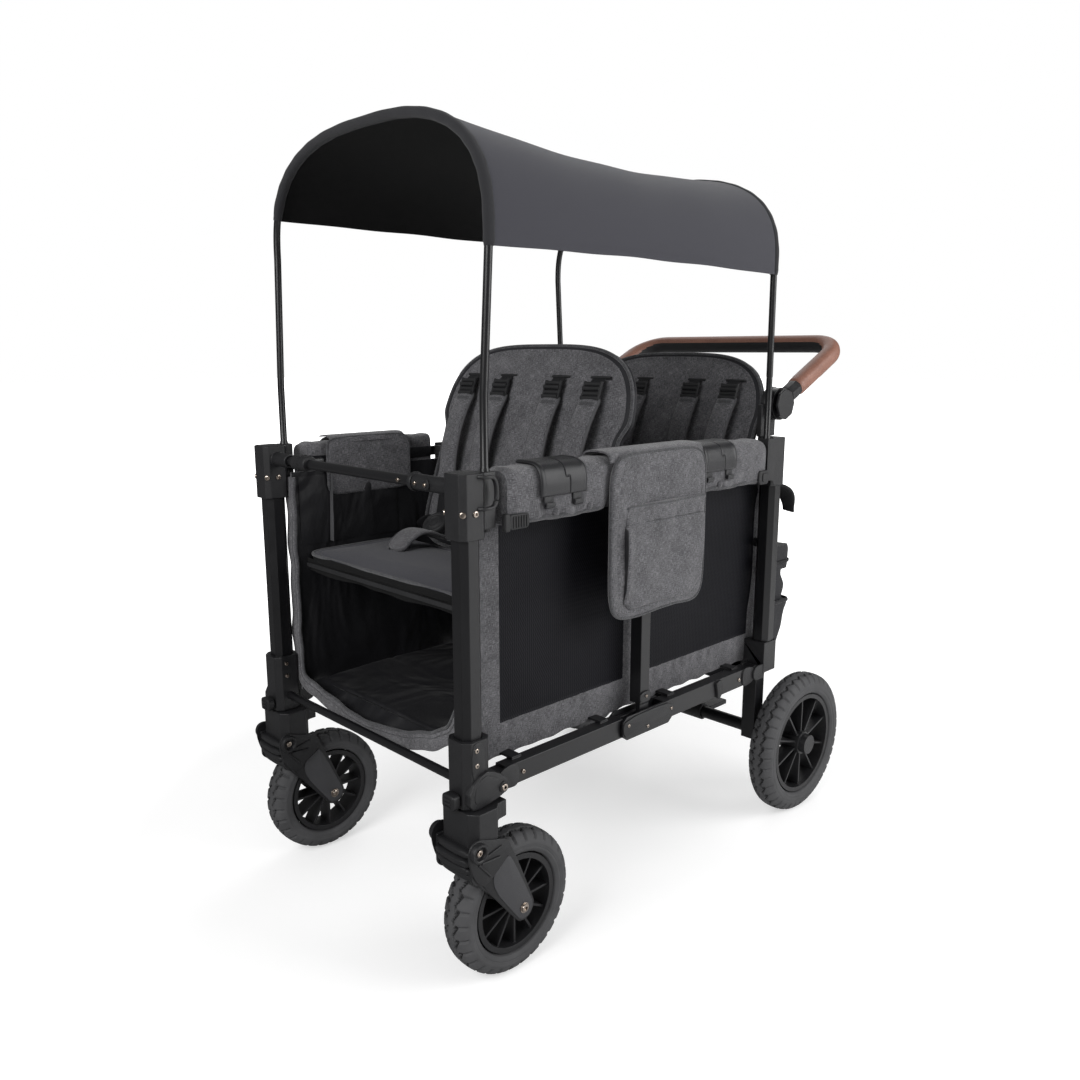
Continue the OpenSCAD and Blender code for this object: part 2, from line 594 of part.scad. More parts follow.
// Cloth tub: side walls with recessed mesh windows, rear wall, and the hem round the front opening
tub_front = post_y - post_w/2 - 3;
tub_rear = post_y + post_w/2 - 3;
tub_top = high_pivot_z - top_rail_d/2 - 2;
rear_wall_top = cap_top - cap_h + 9;
window_low = 418;
window_top = 700;
window_in = 1.2;
hem_w = 34;
slot_r = seat_bar_d/2 + 4;
module tub() color(cloth_black) place() difference() {
  union() {
    pair() span([tub_half - tub_t, -tub_front, tub_low], [tub_half, tub_rear, tub_top]);
    span([-tub_half, tub_rear - tub_t, tub_low], [tub_half, tub_rear, rear_wall_top]);
    span([-tub_half, -tub_front, tub_low], [tub_half, -tub_front + tub_t, tub_low + hem_w]);
    pair() span([tub_half - hem_w, -tub_front, tub_low], [tub_half, -tub_front + tub_t, tub_top]);
  }
  for (y = [0, post_y]) x_rod(2*slot_r, -2*post_x, 2*post_x, y, seat_z);
  span([-2*post_x, post_y, rear_wall_top], [2*post_x, tub_rear + 1, tub_top + 1]);
  pair() span([leg_x - leg_w/2 - 5, post_y - 26, tub_low - 1], [post_x, post_y + 26, post_low + 34]);
  pair() span([tub_half - window_in, -tub_front + 20, window_low], [tub_half + 1, -45, window_top]);
  pair() span([tub_half - window_in, 15, window_low], [tub_half + 1, tub_front - 44, window_top]);
}
// Pocket hung over the left rail: outer flap with round lower corners, top strip over the pad
pocket_y = -108;
pocket_t = 9;
pocket_r = 34;
module side_pocket() color(cloth_grey) place() {
  outer = pad_out + gap;
  translate([outer, 0, 0]) rotate([90, 0, 90]) linear_extrude(pocket_t) {
    translate([pocket_y, pocket_low + pocket_r]) square([pocket_l, pad_top + 6 - pocket_low - pocket_r]);
    translate([pocket_y + pocket_r, pocket_low]) square([pocket_l - 2*pocket_r, pocket_r + 1]);
    for (y = [pocket_y + pocket_r, pocket_y + pocket_l - pocket_r]) translate([y, pocket_low + pocket_r]) circle(pocket_r);
  }
  span([tub_half + 4, pocket_y, pad_top + gap], [outer + 1, pocket_y + pocket_l, pad_top + 6]);
}
// Rear bag: open at the top, drawn in towards the bottom
bag_half = 242;
bag_wall = 4;
module bag_form(in) hull() {
  front = post_y + post_w/2 + gap + in;
  for (s = [-1, 1]) {
    translate([s*(bag_half - 20 - in) - 1, front, bag_top - 1]) cube([2, 1, 1]);
    translate([s*(bag_half - 12 - in), front + bag_d - 14 - 2*in, bag_top - 1]) cylinder(r = 12, h = 1);
    translate([s*(bag_half - 16 - in), front + bag_d - 16 - 2*in, bag_low + 130]) sphere(16);
    translate([s*(bag_half - 64 - in), front + bag_d - 56 - 2*in, bag_low + 24 + in]) sphere(24);
    translate([s*(bag_half - 40 - in) - 1, front, bag_low + 10 + in]) cube([2, 1, 1]);
  }
}
module rear_bag() color(cloth_black) place() difference() {
  union() {
    bag_form(0, $fn = 24);
    span([-post_x - 6, post_y + post_w/2 + gap, bag_top - 44], [post_x + 6, post_y + post_w/2 + gap + bag_wall, bag_top - 12]);
  }
  translate([0, 0, 1]) bag_form(bag_wall, $fn = 24);
}

// Rear running gear
leg_w = 30;
leg_x = rear_x - rear_w/2 - 5.5 - leg_w/2;
leg_low = 168;
arm_t = 14;
cross_z = 187;
cross_d = 25;
leg_top = low_pivot_z + 22;
module rear_bracket() {
  difference() {
    span([leg_x - leg_w/2 - 3, post_y - 23, low_pivot_z - 4], [post_x + post_w/2 + 5, post_y + 23, post_low + 30]);
    translate([post_x, post_y, post_low]) linear_extrude(200) chamfered(post_w + 2*run, post_chamfer);
    span([leg_x - leg_w/2 - run, post_y - leg_w/2 - run, 0], [leg_x + leg_w/2 + run, post_y + leg_w/2 + run, leg_top + run]);
  }
  mirror([0, 1, 0]) cheeks(-post_y + 20);
  mirror([0, 1, 0]) clevis_pin();
}
module rear_brackets() color(frame_black) place() pair() rear_bracket();
module rear_legs() color(frame_black) place() pair() difference() {
  union() {
    span([leg_x - leg_w/2, post_y - leg_w/2, leg_low], [leg_x + leg_w/2, post_y + leg_w/2, leg_top]);
    translate([leg_x + leg_w/2 - arm_t, 0, 0]) {
      x_rod(44, 0, arm_t, rear_axle_y, rear_r);
      translate([arm_t, 0, 0]) rotate([0, -90, 0]) linear_extrude(arm_t) polygon([
        [leg_low + 1, post_y], [leg_low + 44, post_y], [rear_r + 19, rear_axle_y + 8], [rear_r - 19, rear_axle_y - 8]]);
    }
  }
  span([leg_x - leg_w/2 + tube_wall, post_y - leg_w/2 + tube_wall, leg_low + 50],
       [leg_x + leg_w/2 - tube_wall, post_y + leg_w/2 - tube_wall, leg_top - 8]);
  x_rod(rear_axle_d + 2*run, 0, 2*post_x, rear_axle_y, rear_r);
}
module rear_axles() color(steel) place() pair() {
  x_rod(rear_axle_d, leg_x + leg_w/2 - arm_t, rear_x + rear_w/2 + 1, rear_axle_y, rear_r);
  x_rod(rear_axle_d + 6, leg_x + leg_w/2 - arm_t - 4, leg_x + leg_w/2 - arm_t, rear_axle_y, rear_r);
}
top_bar_d = 16;
top_bar_z = cap_top - cap_h + 20;
module rear_bars() color(frame_black) place() {
  x_rod(cross_d, -leg_x + leg_w/2, leg_x - leg_w/2, post_y, cross_z);
  x_rod(top_bar_d, -post_x + cap_w/2, post_x - cap_w/2, post_y + 12, top_bar_z);
}
pedal_x = 60;
pedal_w = 70;
module brake_pedal() color(frame_black) place() difference() {
  union() {
    x_rod(cross_d + 10, pedal_x, pedal_x + pedal_w, post_y, cross_z);
    span([pedal_x, post_y + 8, cross_z - 5], [pedal_x + pedal_w, post_y + 84, cross_z + 5]);
  }
  x_rod(cross_d + 2*run, 0, post_x, post_y, cross_z);
}
module at_rear_wheel(s) place() translate([s*rear_x, rear_axle_y, rear_r]) children();
module rear_rim(s) at_rear_wheel(s) side(s) {
  rim(rear_rim, rear_w - 12, 24, rear_axle_d + 2*run, rear_spokes);
  x_rod(40, rear_w/2 + 2, rear_w/2 + 8, 0, 0);
  difference() {
    x_rod(40, rear_w/2 - 7, rear_w/2 + 3, 0, 0);
    x_rod(30, rear_w/2 - 8, rear_w/2 + 2, 0, 0);
  }
}
module rear_rim_left() color(frame_black) rear_rim(1);
module rear_rim_right() color(frame_black) rear_rim(-1);
module rear_tyre_left() color(cloth_grey) at_rear_wheel(1) tyre(rear_r, rear_w, rear_rim);
module rear_tyre_right() color(cloth_grey) at_rear_wheel(-1) tyre(rear_r, rear_w, rear_rim);

// Push handle: fixed hubs on the rear caps, turning discs, tube, wrapped grip and push buttons
disc_t = 15;
disc_x = hub_x + 1;
button_t = 12;
button_in = 9;
module handle_uprights() color(frame_black) place() pair() {
  x0 = hub_x - 10;
  span([x0, post_y - 17, cap_top], [hub_x, hub_y + 8, hub_z]);
  x_rod(hub_d, x0, hub_x, hub_y, hub_z);
  x_rod(pin_d + 4, hub_x - 1, disc_x + 4, hub_y, hub_z);
}
// Frame of the handle: origin at the pivot, Y along the arm
module at_handle() place() translate([0, hub_y, hub_z]) rotate([rise, 0, 0]) children();
arm_x = disc_x + disc_t/2;
arm_start = hub_d/2 + 4;
grip_start = 62;
module u_bar(start, od, id) {
  corner = reach - grip_bend;
  module ring() difference() {
    circle(d = od);
    if (id > 0) circle(d = id);
  }
  pair() translate([arm_x, start, 0]) rotate([-90, 0, 0]) linear_extrude(corner - start) ring();
  pair() translate([arm_x - grip_bend, corner, 0]) rotate_extrude(angle = 90) translate([grip_bend, 0]) ring();
  translate([-arm_x + grip_bend, reach, 0]) rotate([90, 0, 90]) linear_extrude(2*(arm_x - grip_bend)) ring();
}
module handle_tube() color(frame_black) at_handle() {
  pair() difference() {
    union() {
      x_rod(hub_d - 2, disc_x, disc_x + disc_t, 0, 0);
      span([disc_x, 0, -tube_d/2 + 3], [disc_x + disc_t, arm_start + 1, tube_d/2 - 3]);
    }
    x_rod(pin_d + 4 + 2*run, disc_x - 1, disc_x + 4.5, 0, 0);
    x_rod(20, disc_x + disc_t - 8, disc_x + disc_t + 1, 0, 0);
  }
  u_bar(arm_start, tube_d, tube_d - 2*tube_wall);
}
module handle_grip() color([0.50, 0.33, 0.28]) at_handle() u_bar(grip_start, grip_d, tube_d + 2*run);
module hub_button(s) color(frame_black) at_handle() side(s) {
  translate([disc_x + disc_t + 5, 0, 0]) rotate([0, 90, 0]) rotate(22.5) cylinder(d = hub_d - 4, h = button_t - 5, $fn = 8);
  x_rod(20 - 4*run, disc_x + disc_t - 3, disc_x + disc_t + 6, 0, 0);
}
module hub_button_left() hub_button(1);
module hub_button_right() hub_button(-1);

// Canopy: poles that slide in the cap sockets, bows on them and the cloth over both bows
bow_n = 2.7;
bow_steps = 24;
function bow_point(w, h, a) = [w*signed_pow(cos(a), 2/bow_n), bow_z + h*signed_pow(sin(a), 2/bow_n)];
// Path of a bow: up the left pole's bent stretch, over the arch and down the right one
pole_steps = 5;
function rise_at(k) = slide_top - 4 + (bow_z - slide_top + 4)*k/pole_steps;
function bow_path(w, h) = concat(
  [for (k = [0:pole_steps - 1]) [w, rise_at(k)]],
  [for (k = [0:bow_steps]) bow_point(w, h, 180*k/bow_steps)],
  [for (k = [pole_steps - 1:-1:0]) [-w, rise_at(k)]]);
// Bend of a pole towards the middle of the canopy, at a height
slide_top = cap_top + 106;
bend_top = bow_z - 50;
function bent(z) = let (t = min(max((z - slide_top)/(bend_top - slide_top), 0), 1)) pole_bend*t*t*(3 - 2*t);
// Round tube of 8 sides along a path in the XZ plane that bends to one side, closed at both ends
module bow_tube(path, r) {
  n = len(path);
  m = 8;
  points = [for (i = [0:n - 1]) let (
      a = path[max(i - 1, 0)],
      b = path[min(i + 1, n - 1)],
      t = i == 0 ? [0, 1] : i == n - 1 ? [0, -1] : (b - a)/norm(b - a))
    for (j = [0:m - 1])
      [path[i].x + r*cos(360*j/m)*t.y, r*sin(360*j/m) + bent(path[i].y), path[i].y - r*cos(360*j/m)*t.x]];
  faces = concat(
    [for (i = [0:n - 2]) for (j = [0:m - 1]) let (k = (j + 1)%m) [i*m + j, (i + 1)*m + j, (i + 1)*m + k]],
    [for (i = [0:n - 2]) for (j = [0:m - 1]) let (k = (j + 1)%m) [i*m + j, (i + 1)*m + k, i*m + k]],
    [[for (j = [0:m - 1]) j], [for (j = [m - 1:-1:0]) (n - 1)*m + j]]);
  polyhedron(points, faces);
}
pole_low = cap_top - 85;
module hoop(h) {
  pair() translate([pole_x, 0, pole_low]) cylinder(d = pole_d, h = slide_top - pole_low);
  bow_tube(bow_path(pole_x, h), pole_d/2 - 0.4);
}
hoop_y = post_y - pole_in;
module front_hoop() color(frame_black) place() translate([0, -hoop_y, 0]) hoop(bow_height);
module rear_hoop() color(frame_black) place() translate([0, hoop_y, 0]) mirror([0, 1, 0]) hoop(bow_height - bow_drop);
// Cloth: a grid across the arch and along the wagon, offset inside and outside
cloth_in = pole_d/2 + 5*gap;
cloth_over = 8;
cloth_rows = 9;
function cloth_point(off, k, v) = let (
  y = (2*v - 1)*(hoop_y - pole_bend + cloth_over),
  h = bow_height - bow_drop*v - cloth_sag*sin(180*v) + off,
  w = pole_x + off,
  end = 180 - asin(pow(hem_lift/h, bow_n/2)),
  p = k == 0 ? [w, bow_z - hem_drop] : bow_point(w, h, end*(k - 1)/(bow_steps - 1)))
  [p.x, y, p.y];
module canopy() color([0.24, 0.24, 0.27]) place() {
  n = bow_steps + 1;
  rows = [for (i = [0:cloth_rows - 1]) i/(cloth_rows - 1)];
  outer = [for (v = rows) for (k = [0:n - 1]) cloth_point(cloth_in + cloth_t, k, v)];
  inner = [for (v = rows) for (k = [0:n - 1]) cloth_point(cloth_in, k, v)];
  base = len(outer);
  last = (cloth_rows - 1)*n;
  quad = function (a, b, c, d) [[a, b, c], [a, c, d]];
  faces = concat(
    [for (i = [0:cloth_rows - 2]) for (k = [0:n - 2]) each quad(i*n + k, i*n + k + 1, i*n + n + k + 1, i*n + n + k)],
    [for (i = [0:cloth_rows - 2]) for (k = [0:n - 2]) each quad(base + i*n + k, base + i*n + n + k, base + i*n + n + k + 1, base + i*n + k + 1)],
    [for (k = [0:n - 2]) each quad(k, base + k, base + k + 1, k + 1)],
    [for (k = [0:n - 2]) each quad(last + k, last + k + 1, base + last + k + 1, base + last + k)],
    [for (i = [0:cloth_rows - 2]) each quad(i*n, i*n + n, base + i*n + n, base + i*n)],
    [for (i = [0:cloth_rows - 2]) each quad(i*n + n - 1, base + i*n + n - 1, base + i*n + 2*n - 1, i*n + 2*n - 1)]);
  polyhedron(concat(outer, inner), faces);
}

front_posts();
front_caps();
front_brackets();
front_bars();
front_screws();
caster_housing_left();
caster_housing_right();
caster_fork_left();
caster_fork_right();
front_rim_left();
front_rim_right();
front_tyre_left();
front_tyre_right();
front_axle_left();
front_axle_right();
swivel_lock_left();
swivel_lock_right();
lower_front_rails();
front_floor();
lower_rear_rails();
hinge_plates();
rear_floor();
centre_posts();
front_seat_bar();
front_backrest();
front_harness();
side_pocket();
front_bench();
rear_bench();
upper_front_rails();
front_rail_pads();
front_rail_clips();
upper_rear_rails();
rear_rail_pads();
rear_rail_clips();
rear_posts();
rear_caps();
rear_brackets();
rear_legs();
rear_axles();
rear_bars();
rear_seat_bar();
rear_backrest();
rear_harness();
tub();
rear_bag();
handle_uprights();
brake_pedal();
rear_rim_left();
rear_rim_right();
rear_tyre_left();
rear_tyre_right();
handle_tube();
handle_grip();
hub_button_left();
hub_button_right();
front_hoop();
rear_hoop();
canopy();
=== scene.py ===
# %% [markdown]
# # A folding stroller wagon
# Four posts carry side rails that break upwards in the middle, and between them hang a cloth tub, two
# bench seats and a hooped canopy. The CAD model already gives every hinge, bore and size. This lesson
# dresses it: rigid pieces keep their solids and get soft edges, and cloth, rubber and leather pieces are
# worked out again as smooth surfaces. Lengths are in millimetres while a shape is worked out, and
# `metres` turns them into the frame of the CAD model at the end.

# %% Frame and units
import json
import math

import bmesh
import bpy
import numpy as np
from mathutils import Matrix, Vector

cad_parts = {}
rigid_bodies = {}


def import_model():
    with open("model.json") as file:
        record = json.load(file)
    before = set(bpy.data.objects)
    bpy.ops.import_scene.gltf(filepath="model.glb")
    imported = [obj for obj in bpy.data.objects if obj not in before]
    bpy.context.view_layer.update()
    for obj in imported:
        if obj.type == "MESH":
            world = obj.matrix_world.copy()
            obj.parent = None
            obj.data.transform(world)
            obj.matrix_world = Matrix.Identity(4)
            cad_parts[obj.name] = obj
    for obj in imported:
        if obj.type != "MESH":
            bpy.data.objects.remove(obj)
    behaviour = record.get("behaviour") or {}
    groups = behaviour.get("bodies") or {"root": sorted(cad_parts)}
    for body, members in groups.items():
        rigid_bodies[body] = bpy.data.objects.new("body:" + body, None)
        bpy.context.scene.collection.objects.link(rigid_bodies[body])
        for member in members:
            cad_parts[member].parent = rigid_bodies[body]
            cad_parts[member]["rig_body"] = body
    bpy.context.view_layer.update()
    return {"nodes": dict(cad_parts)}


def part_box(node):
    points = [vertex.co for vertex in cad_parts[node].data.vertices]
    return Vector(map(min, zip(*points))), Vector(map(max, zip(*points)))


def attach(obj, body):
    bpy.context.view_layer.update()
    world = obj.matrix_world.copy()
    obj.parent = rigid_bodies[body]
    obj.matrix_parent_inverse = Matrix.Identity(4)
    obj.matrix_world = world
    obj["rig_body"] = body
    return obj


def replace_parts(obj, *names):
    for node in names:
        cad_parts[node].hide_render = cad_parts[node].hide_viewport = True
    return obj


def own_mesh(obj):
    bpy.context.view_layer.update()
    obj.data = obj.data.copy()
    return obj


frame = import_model()
post_low, post_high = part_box("rear_posts")
MID = 385 - 500*(post_low.y + post_high.y)


def metres(points):
    """Millimetres with y counted from the middle of the wagon, as metres in the model's frame."""
    return (np.asarray(points, float) - (0, MID, 0))*0.001


# %% [markdown]
# ## Camera, light and floor
# The photograph was taken with a short lens from the front left, a little above the seats, against a white
# sweep. A camera fitted to the posts and wheels gives the place and lens below. White light from all
# round, with large soft lamps, shows a colour about as it is written. The floor is a pale plane; to the
# camera it also glows a little, so that it ends in white without any extra light on the wagon, and it still
# takes the shadow. In the mirror of the paint its front right part is dark, as a black card makes it.

# %% Camera and lamps
scene = bpy.context.scene
scene.view_settings.view_transform = "Standard"
camera = bpy.data.objects.new("camera", bpy.data.cameras.new("camera"))
scene.collection.objects.link(camera)
camera.location = metres((1241.8, -1195.8, 946.6))
camera.rotation_euler = (math.radians(78.59), 0, math.radians(45.63))
camera.data.lens = 31.19
camera.data.sensor_width = 36
scene.camera = camera


def soft_lamp(name, place, aim, size, power):
    """A square area lamp at place, turned towards aim."""
    lamp = bpy.data.objects.new(name, bpy.data.lights.new(name, "AREA"))
    lamp.data.size = size
    lamp.data.energy = power
    scene.collection.objects.link(lamp)
    lamp.location = place
    line = np.subtract(aim, place)
    lamp.rotation_euler = (math.atan2(math.hypot(line[0], line[1]), -line[2]), 0,
                           math.atan2(line[0], -line[1]) + math.pi)
    return lamp


soft_lamp("key", (2.8, 1.5, 1.7), (0, 0, 0.6), 2.2, 78)
soft_lamp("front", (0.6, -2.9, 2.1), (0, 0, 0.8), 1.6, 60)
soft_lamp("back", (-1.6, 2.4, 2.6), (0, 0, 0.7), 2.0, 22)

# %% [markdown]
# ## Shader arithmetic
# A finish is mostly arithmetic on patterns, so a shader socket is wrapped as a number: adding or
# multiplying two of them adds a Math node. Every other node comes from the one method `node`, which
# takes the node's type, its settings and what goes into its sockets.

# %% Value and Finish
class Value:
    """A shader socket as a number; each operator adds one Math node."""

    def __init__(self, finish, socket):
        self.finish, self.socket = finish, socket

    def math(self, operation, *others):
        return self.finish.node("ShaderNodeMath", {"operation": operation}, dict(enumerate((self, *others))))

    def __add__(self, other):
        return self.math("ADD", other)

    def __sub__(self, other):
        return self.math("SUBTRACT", other)

    def __mul__(self, other):
        return self.math("MULTIPLY", other)

    def __truediv__(self, other):
        return self.math("DIVIDE", other)

    def __rsub__(self, other):
        return self.finish.node("ShaderNodeMath", {"operation": "SUBTRACT"}, {0: other, 1: self})

    __radd__, __rmul__ = __add__, __mul__


class Finish:
    """One procedural material, in Object coordinates or on the piece's own UV map, both in metres."""

    def __init__(self, name, space="Object"):
        self.material = bpy.data.materials.new(name)
        self.material.use_nodes = True
        self.tree = self.material.node_tree
        self.tree.nodes.clear()
        self.place = self.node("ShaderNodeTexCoord", out=space)

    def node(self, kind, settings={}, sockets={}, out=0):
        """Adds a node: first its settings (stops fill a ramp), then a value or a link on each socket."""
        made = self.tree.nodes.new(kind)
        for key, value in settings.items():
            if key == "stops":
                steps = made.color_ramp.elements
                for _ in value[2:]:
                    steps.new(1)
                for step, (place, tone) in zip(steps, value):
                    step.position = place
                    step.color = (*tone, 1) if np.ndim(tone) else (tone, tone, tone, 1)
            else:
                setattr(made, key, value)
        for key, value in sockets.items():
            if isinstance(value, Value):
                self.tree.links.new(value.socket, made.inputs[key])
            else:
                made.inputs[key].default_value = value
        return Value(self, made.outputs[out]) if made.outputs else made

    def stretched(self, by):
        return self.node("ShaderNodeVectorMath", {"operation": "MULTIPLY"}, {0: self.place, 1: by})

    def noise(self, scale, detail=2, by=None):
        """Noise with a grain of about 1/scale metres, or of 1/by metres along each axis."""
        where = self.stretched(by) if by else self.place
        return self.node("ShaderNodeTexNoise", {}, {"Vector": where, "Scale": 1 if by else scale, "Detail": detail})

    def axis(self, name):
        return self.node("ShaderNodeSeparateXYZ", {}, {0: self.place}, name)

    def ramp(self, value, *stops):
        return self.node("ShaderNodeValToRGB", {"stops": stops}, {0: value})

    def mix(self, factor, first, second):
        """One colour at 0, the other at 1."""
        sockets = {0: factor, 6: first, 7: second}
        sockets = {k: (*v, 1) if isinstance(v, tuple) else v for k, v in sockets.items()}
        return self.node("ShaderNodeMix", {"data_type": "RGBA"}, sockets, 2)

    def surface(self, tone, rough, height=None, depth=0.0005, strength=1.0, **constants):
        """Ends in the Principled shader; height bumps it by depth metres, constants are set on its sockets."""
        sockets = {"Base Color": (*tone, 1) if isinstance(tone, tuple) else tone, "Roughness": rough}
        sockets.update({key.replace("_", " ").title().replace("Ior", "IOR"): value
                        for key, value in constants.items()})
        if height is not None:
            sockets["Normal"] = self.node("ShaderNodeBump", {},
                                          {"Strength": strength, "Distance": depth, "Height": height})
        shader = self.node("ShaderNodeBsdfPrincipled", {}, sockets)
        self.node("ShaderNodeOutputMaterial", {}, {0: shader})
        return self.material


print("shader classes ready")

# %% World and floor
STUDIO_LIGHT, MIRROR_LOSS = 0.46, 0.67
FLOOR_GLOW, FLOOR_DIM, FLOOR_HALF = 1.86, 0.08, 30
WHITE = (1, 1, 1, 1)


def light_path(finish):
    """1 for rays from the camera, and 1 for mirrored rays."""
    return [finish.node("ShaderNodeLightPath", out=name) for name in ("Is Camera Ray", "Is Glossy Ray")]


# The sky is full white for the camera, dimmer for diffuse light, and a third of that for mirrored light, as
# if the studio's walls were dark beside the lamps.
world = bpy.data.worlds.new("studio")
scene.world = world
world.use_nodes = True
world.node_tree.nodes.clear()
sky = Finish.__new__(Finish)
sky.tree = world.node_tree
seen, shine = light_path(sky)
level = seen*(1 - STUDIO_LIGHT) + STUDIO_LIGHT - shine*(STUDIO_LIGHT*MIRROR_LOSS)
sky.node("ShaderNodeOutputWorld", {}, {0: sky.node("ShaderNodeBackground", {}, {0: WHITE, 1: level})})

f = Finish("floor_white")
seen, shine = light_path(f)
pale = f.node("ShaderNodeBsdfDiffuse", {}, {0: f.ramp(f.noise(3), (0.3, 0.86), (0.7, 0.9))})
glow = f.node("ShaderNodeEmission", {}, {0: WHITE, 1: FLOOR_GLOW})
away = f.node("ShaderNodeVectorMath", {"operation": "LENGTH"}, {0: f.place}, "Value")
share = f.ramp(away/4, (0.22, 0.26), (0.55, 1.0))
mixed = f.node("ShaderNodeMixShader", {}, {0: seen*share, 1: pale, 2: glow})
dim = f.node("ShaderNodeEmission", {}, {0: WHITE, 1: FLOOR_DIM})
dark_side = f.ramp(f.axis("X")*0.4 + f.axis("Y")*0.4 + 0.5, (0.3, 0.85), (0.8, 0.0))
f.node("ShaderNodeOutputMaterial", {}, {
    0: f.node("ShaderNodeMixShader", {}, {0: shine*dark_side, 1: mixed, 2: dim})})
plane = bpy.data.meshes.new("floor")
corners = [(-1, -1, 0), (1, -1, 0), (1, 1, 0), (-1, 1, 0)]
plane.from_pydata([(FLOOR_HALF*x, FLOOR_HALF*y, z) for x, y, z in corners], [], [(0, 1, 2, 3)])
plane.materials.append(f.material)
floor = bpy.data.objects.new("floor", plane)
scene.collection.objects.link(floor)
print("white sweep ready")

# %% [markdown]
# ## Finishes of the hard pieces
# The tubes are steel and aluminium with a satin black powder coat, which has a faint orange-peel surface.
# Caps, brackets, casters and rims are black nylon with a fine spark-eroded grain. Screws are nickel plated.
# Each is a Principled shader whose colour and roughness wander slightly, with the grain as a bump.

# %% Paint, nylon, nickel and rubber
def powder_coat(name, tone, rough):
    """Satin paint: orange peel of about a millimetre, and slow patches of more and less gloss."""
    f = Finish(name)
    peel, patch = f.noise(900, 3), f.noise(26, 3)
    lit = tuple(1.5*t for t in tone)
    return f.surface(f.mix(patch*0.8 + peel*0.2, tone, lit), patch*0.16 + (rough - 0.08), peel, 0.00012, 0.5,
                     specular_ior_level=0.45)


def grained_nylon(name, tone, rough, grain=2600):
    """Moulded plastic: a fine pebbled grain whose hollows are a little darker than its raised rims, and slow paler
    patches.
    """
    f = Finish(name)
    pebble = f.node("ShaderNodeTexVoronoi", {"feature": "F1"}, {"Vector": f.place, "Scale": grain})
    patch = f.noise(38, 4)
    pale = tuple(1.45*t + 0.004 for t in tone)
    return f.surface(f.mix(patch*0.7 + pebble*0.35, tone, pale), patch*0.2 + (rough - 0.1), pebble, 0.00018, 0.45,
                     specular_ior_level=0.4)


def nickel_plate(name):
    """Plated steel: warm white metal with fine turning marks."""
    f = Finish(name)
    marks = f.noise(1, 3, (900, 900, 4200))
    return f.surface(f.mix(marks, (0.30, 0.25, 0.21), (0.56, 0.49, 0.43)), marks*0.2 + 0.16, marks, 0.00008, 0.4,
                     metallic=1.0)


def tread_rubber(name):
    """Matt rubber with a dusty bloom in slow patches and a fine moulding texture."""
    f = Finish(name)
    bloom, fine = f.noise(24, 5), f.noise(1500, 2)
    return f.surface(f.ramp(bloom*0.7 + fine*0.3, (0.25, (0.040, 0.040, 0.042)), (0.75, (0.074, 0.074, 0.077))),
                     bloom*0.16 + 0.62, fine, 0.0002, 0.5, specular_ior_level=0.35)


PAINT = powder_coat("satin_black_paint", (0.0050, 0.0050, 0.0058), 0.34)
NYLON = grained_nylon("grained_black_nylon", (0.0085, 0.0085, 0.0095), 0.44)
DARK_NYLON = grained_nylon("dark_nylon", (0.011, 0.011, 0.012), 0.6)
CLIP = grained_nylon("smooth_black_nylon", (0.012, 0.012, 0.0135), 0.36, 3800)
BLADE = grained_nylon("smooth_charcoal_nylon", (0.034, 0.034, 0.037), 0.46, 3800)
NICKEL = nickel_plate("nickel_plate")
RUBBER = tread_rubber("tread_rubber")
print("hard finishes", len(bpy.data.materials))

# %% [markdown]
# ## Finishes of the cloth
# The grey cloth is a heather: each yarn mixes dark and pale fibres, so at arm's length it shows short
# streaks along both thread directions. Streaky noise on the piece's own UV map, which counts metres of
# cloth, gives that at the right size; two crossed waves a millimetre apart give the weave as a bump. The
# side windows are a black knitted mesh, and the lining is a thin black cloth that wrinkles.

# %% Heather, mesh, lining, webbing and canopy cloth
def weave_bump(f, pitch):
    """Plain weave: a sine along each thread direction, high where one thread crosses over the other."""
    k = 2*math.pi/pitch
    return (f.axis("X")*k).math("SINE")*(f.axis("Y")*k).math("SINE")


def heather(name, dark, mid, pale):
    """Mixed-fibre yarn: streaks about 8 mm by 0.7 mm along warp and weft, slow shading between lengths."""
    f = Finish(name, "UV")
    warp, weft = f.noise(1, 2, (120, 1500, 1)), f.noise(1, 2, (1500, 120, 1))
    fleck, slow = f.noise(560, 3), f.noise(30, 3)
    tone = warp*0.6 + weft*0.6 + fleck*0.14 + slow*0.2 - 0.27
    bump = weave_bump(f, 0.0011)*0.4 + fleck*0.5 + slow*2.2
    return f.surface(f.ramp(tone, (0.35, dark), (0.50, mid), (0.65, pale)), 0.9, bump, 0.0005, 0.5,
                     sheen_weight=0.2, sheen_roughness=0.5, specular_ior_level=0.25)


def knitted_mesh(name):
    """Knitted mesh: slanting rows of small holes between shiny threads."""
    f = Finish(name, "UV")
    k = math.pi/0.0046
    u, v, slow = f.axis("X"), f.axis("Y"), f.noise(9, 2)
    holes = ((u + v*0.58)*k).math("SINE")*((u - v*0.58)*k).math("SINE")
    return f.surface(f.ramp(holes.math("ABSOLUTE") + slow*0.2, (0.18, (0.010, 0.010, 0.0145)),
                            (0.46, (0.0014, 0.0014, 0.0024))),
                     slow*0.12 + 0.55, holes, 0.0004, 0.4, specular_ior_level=0.14)


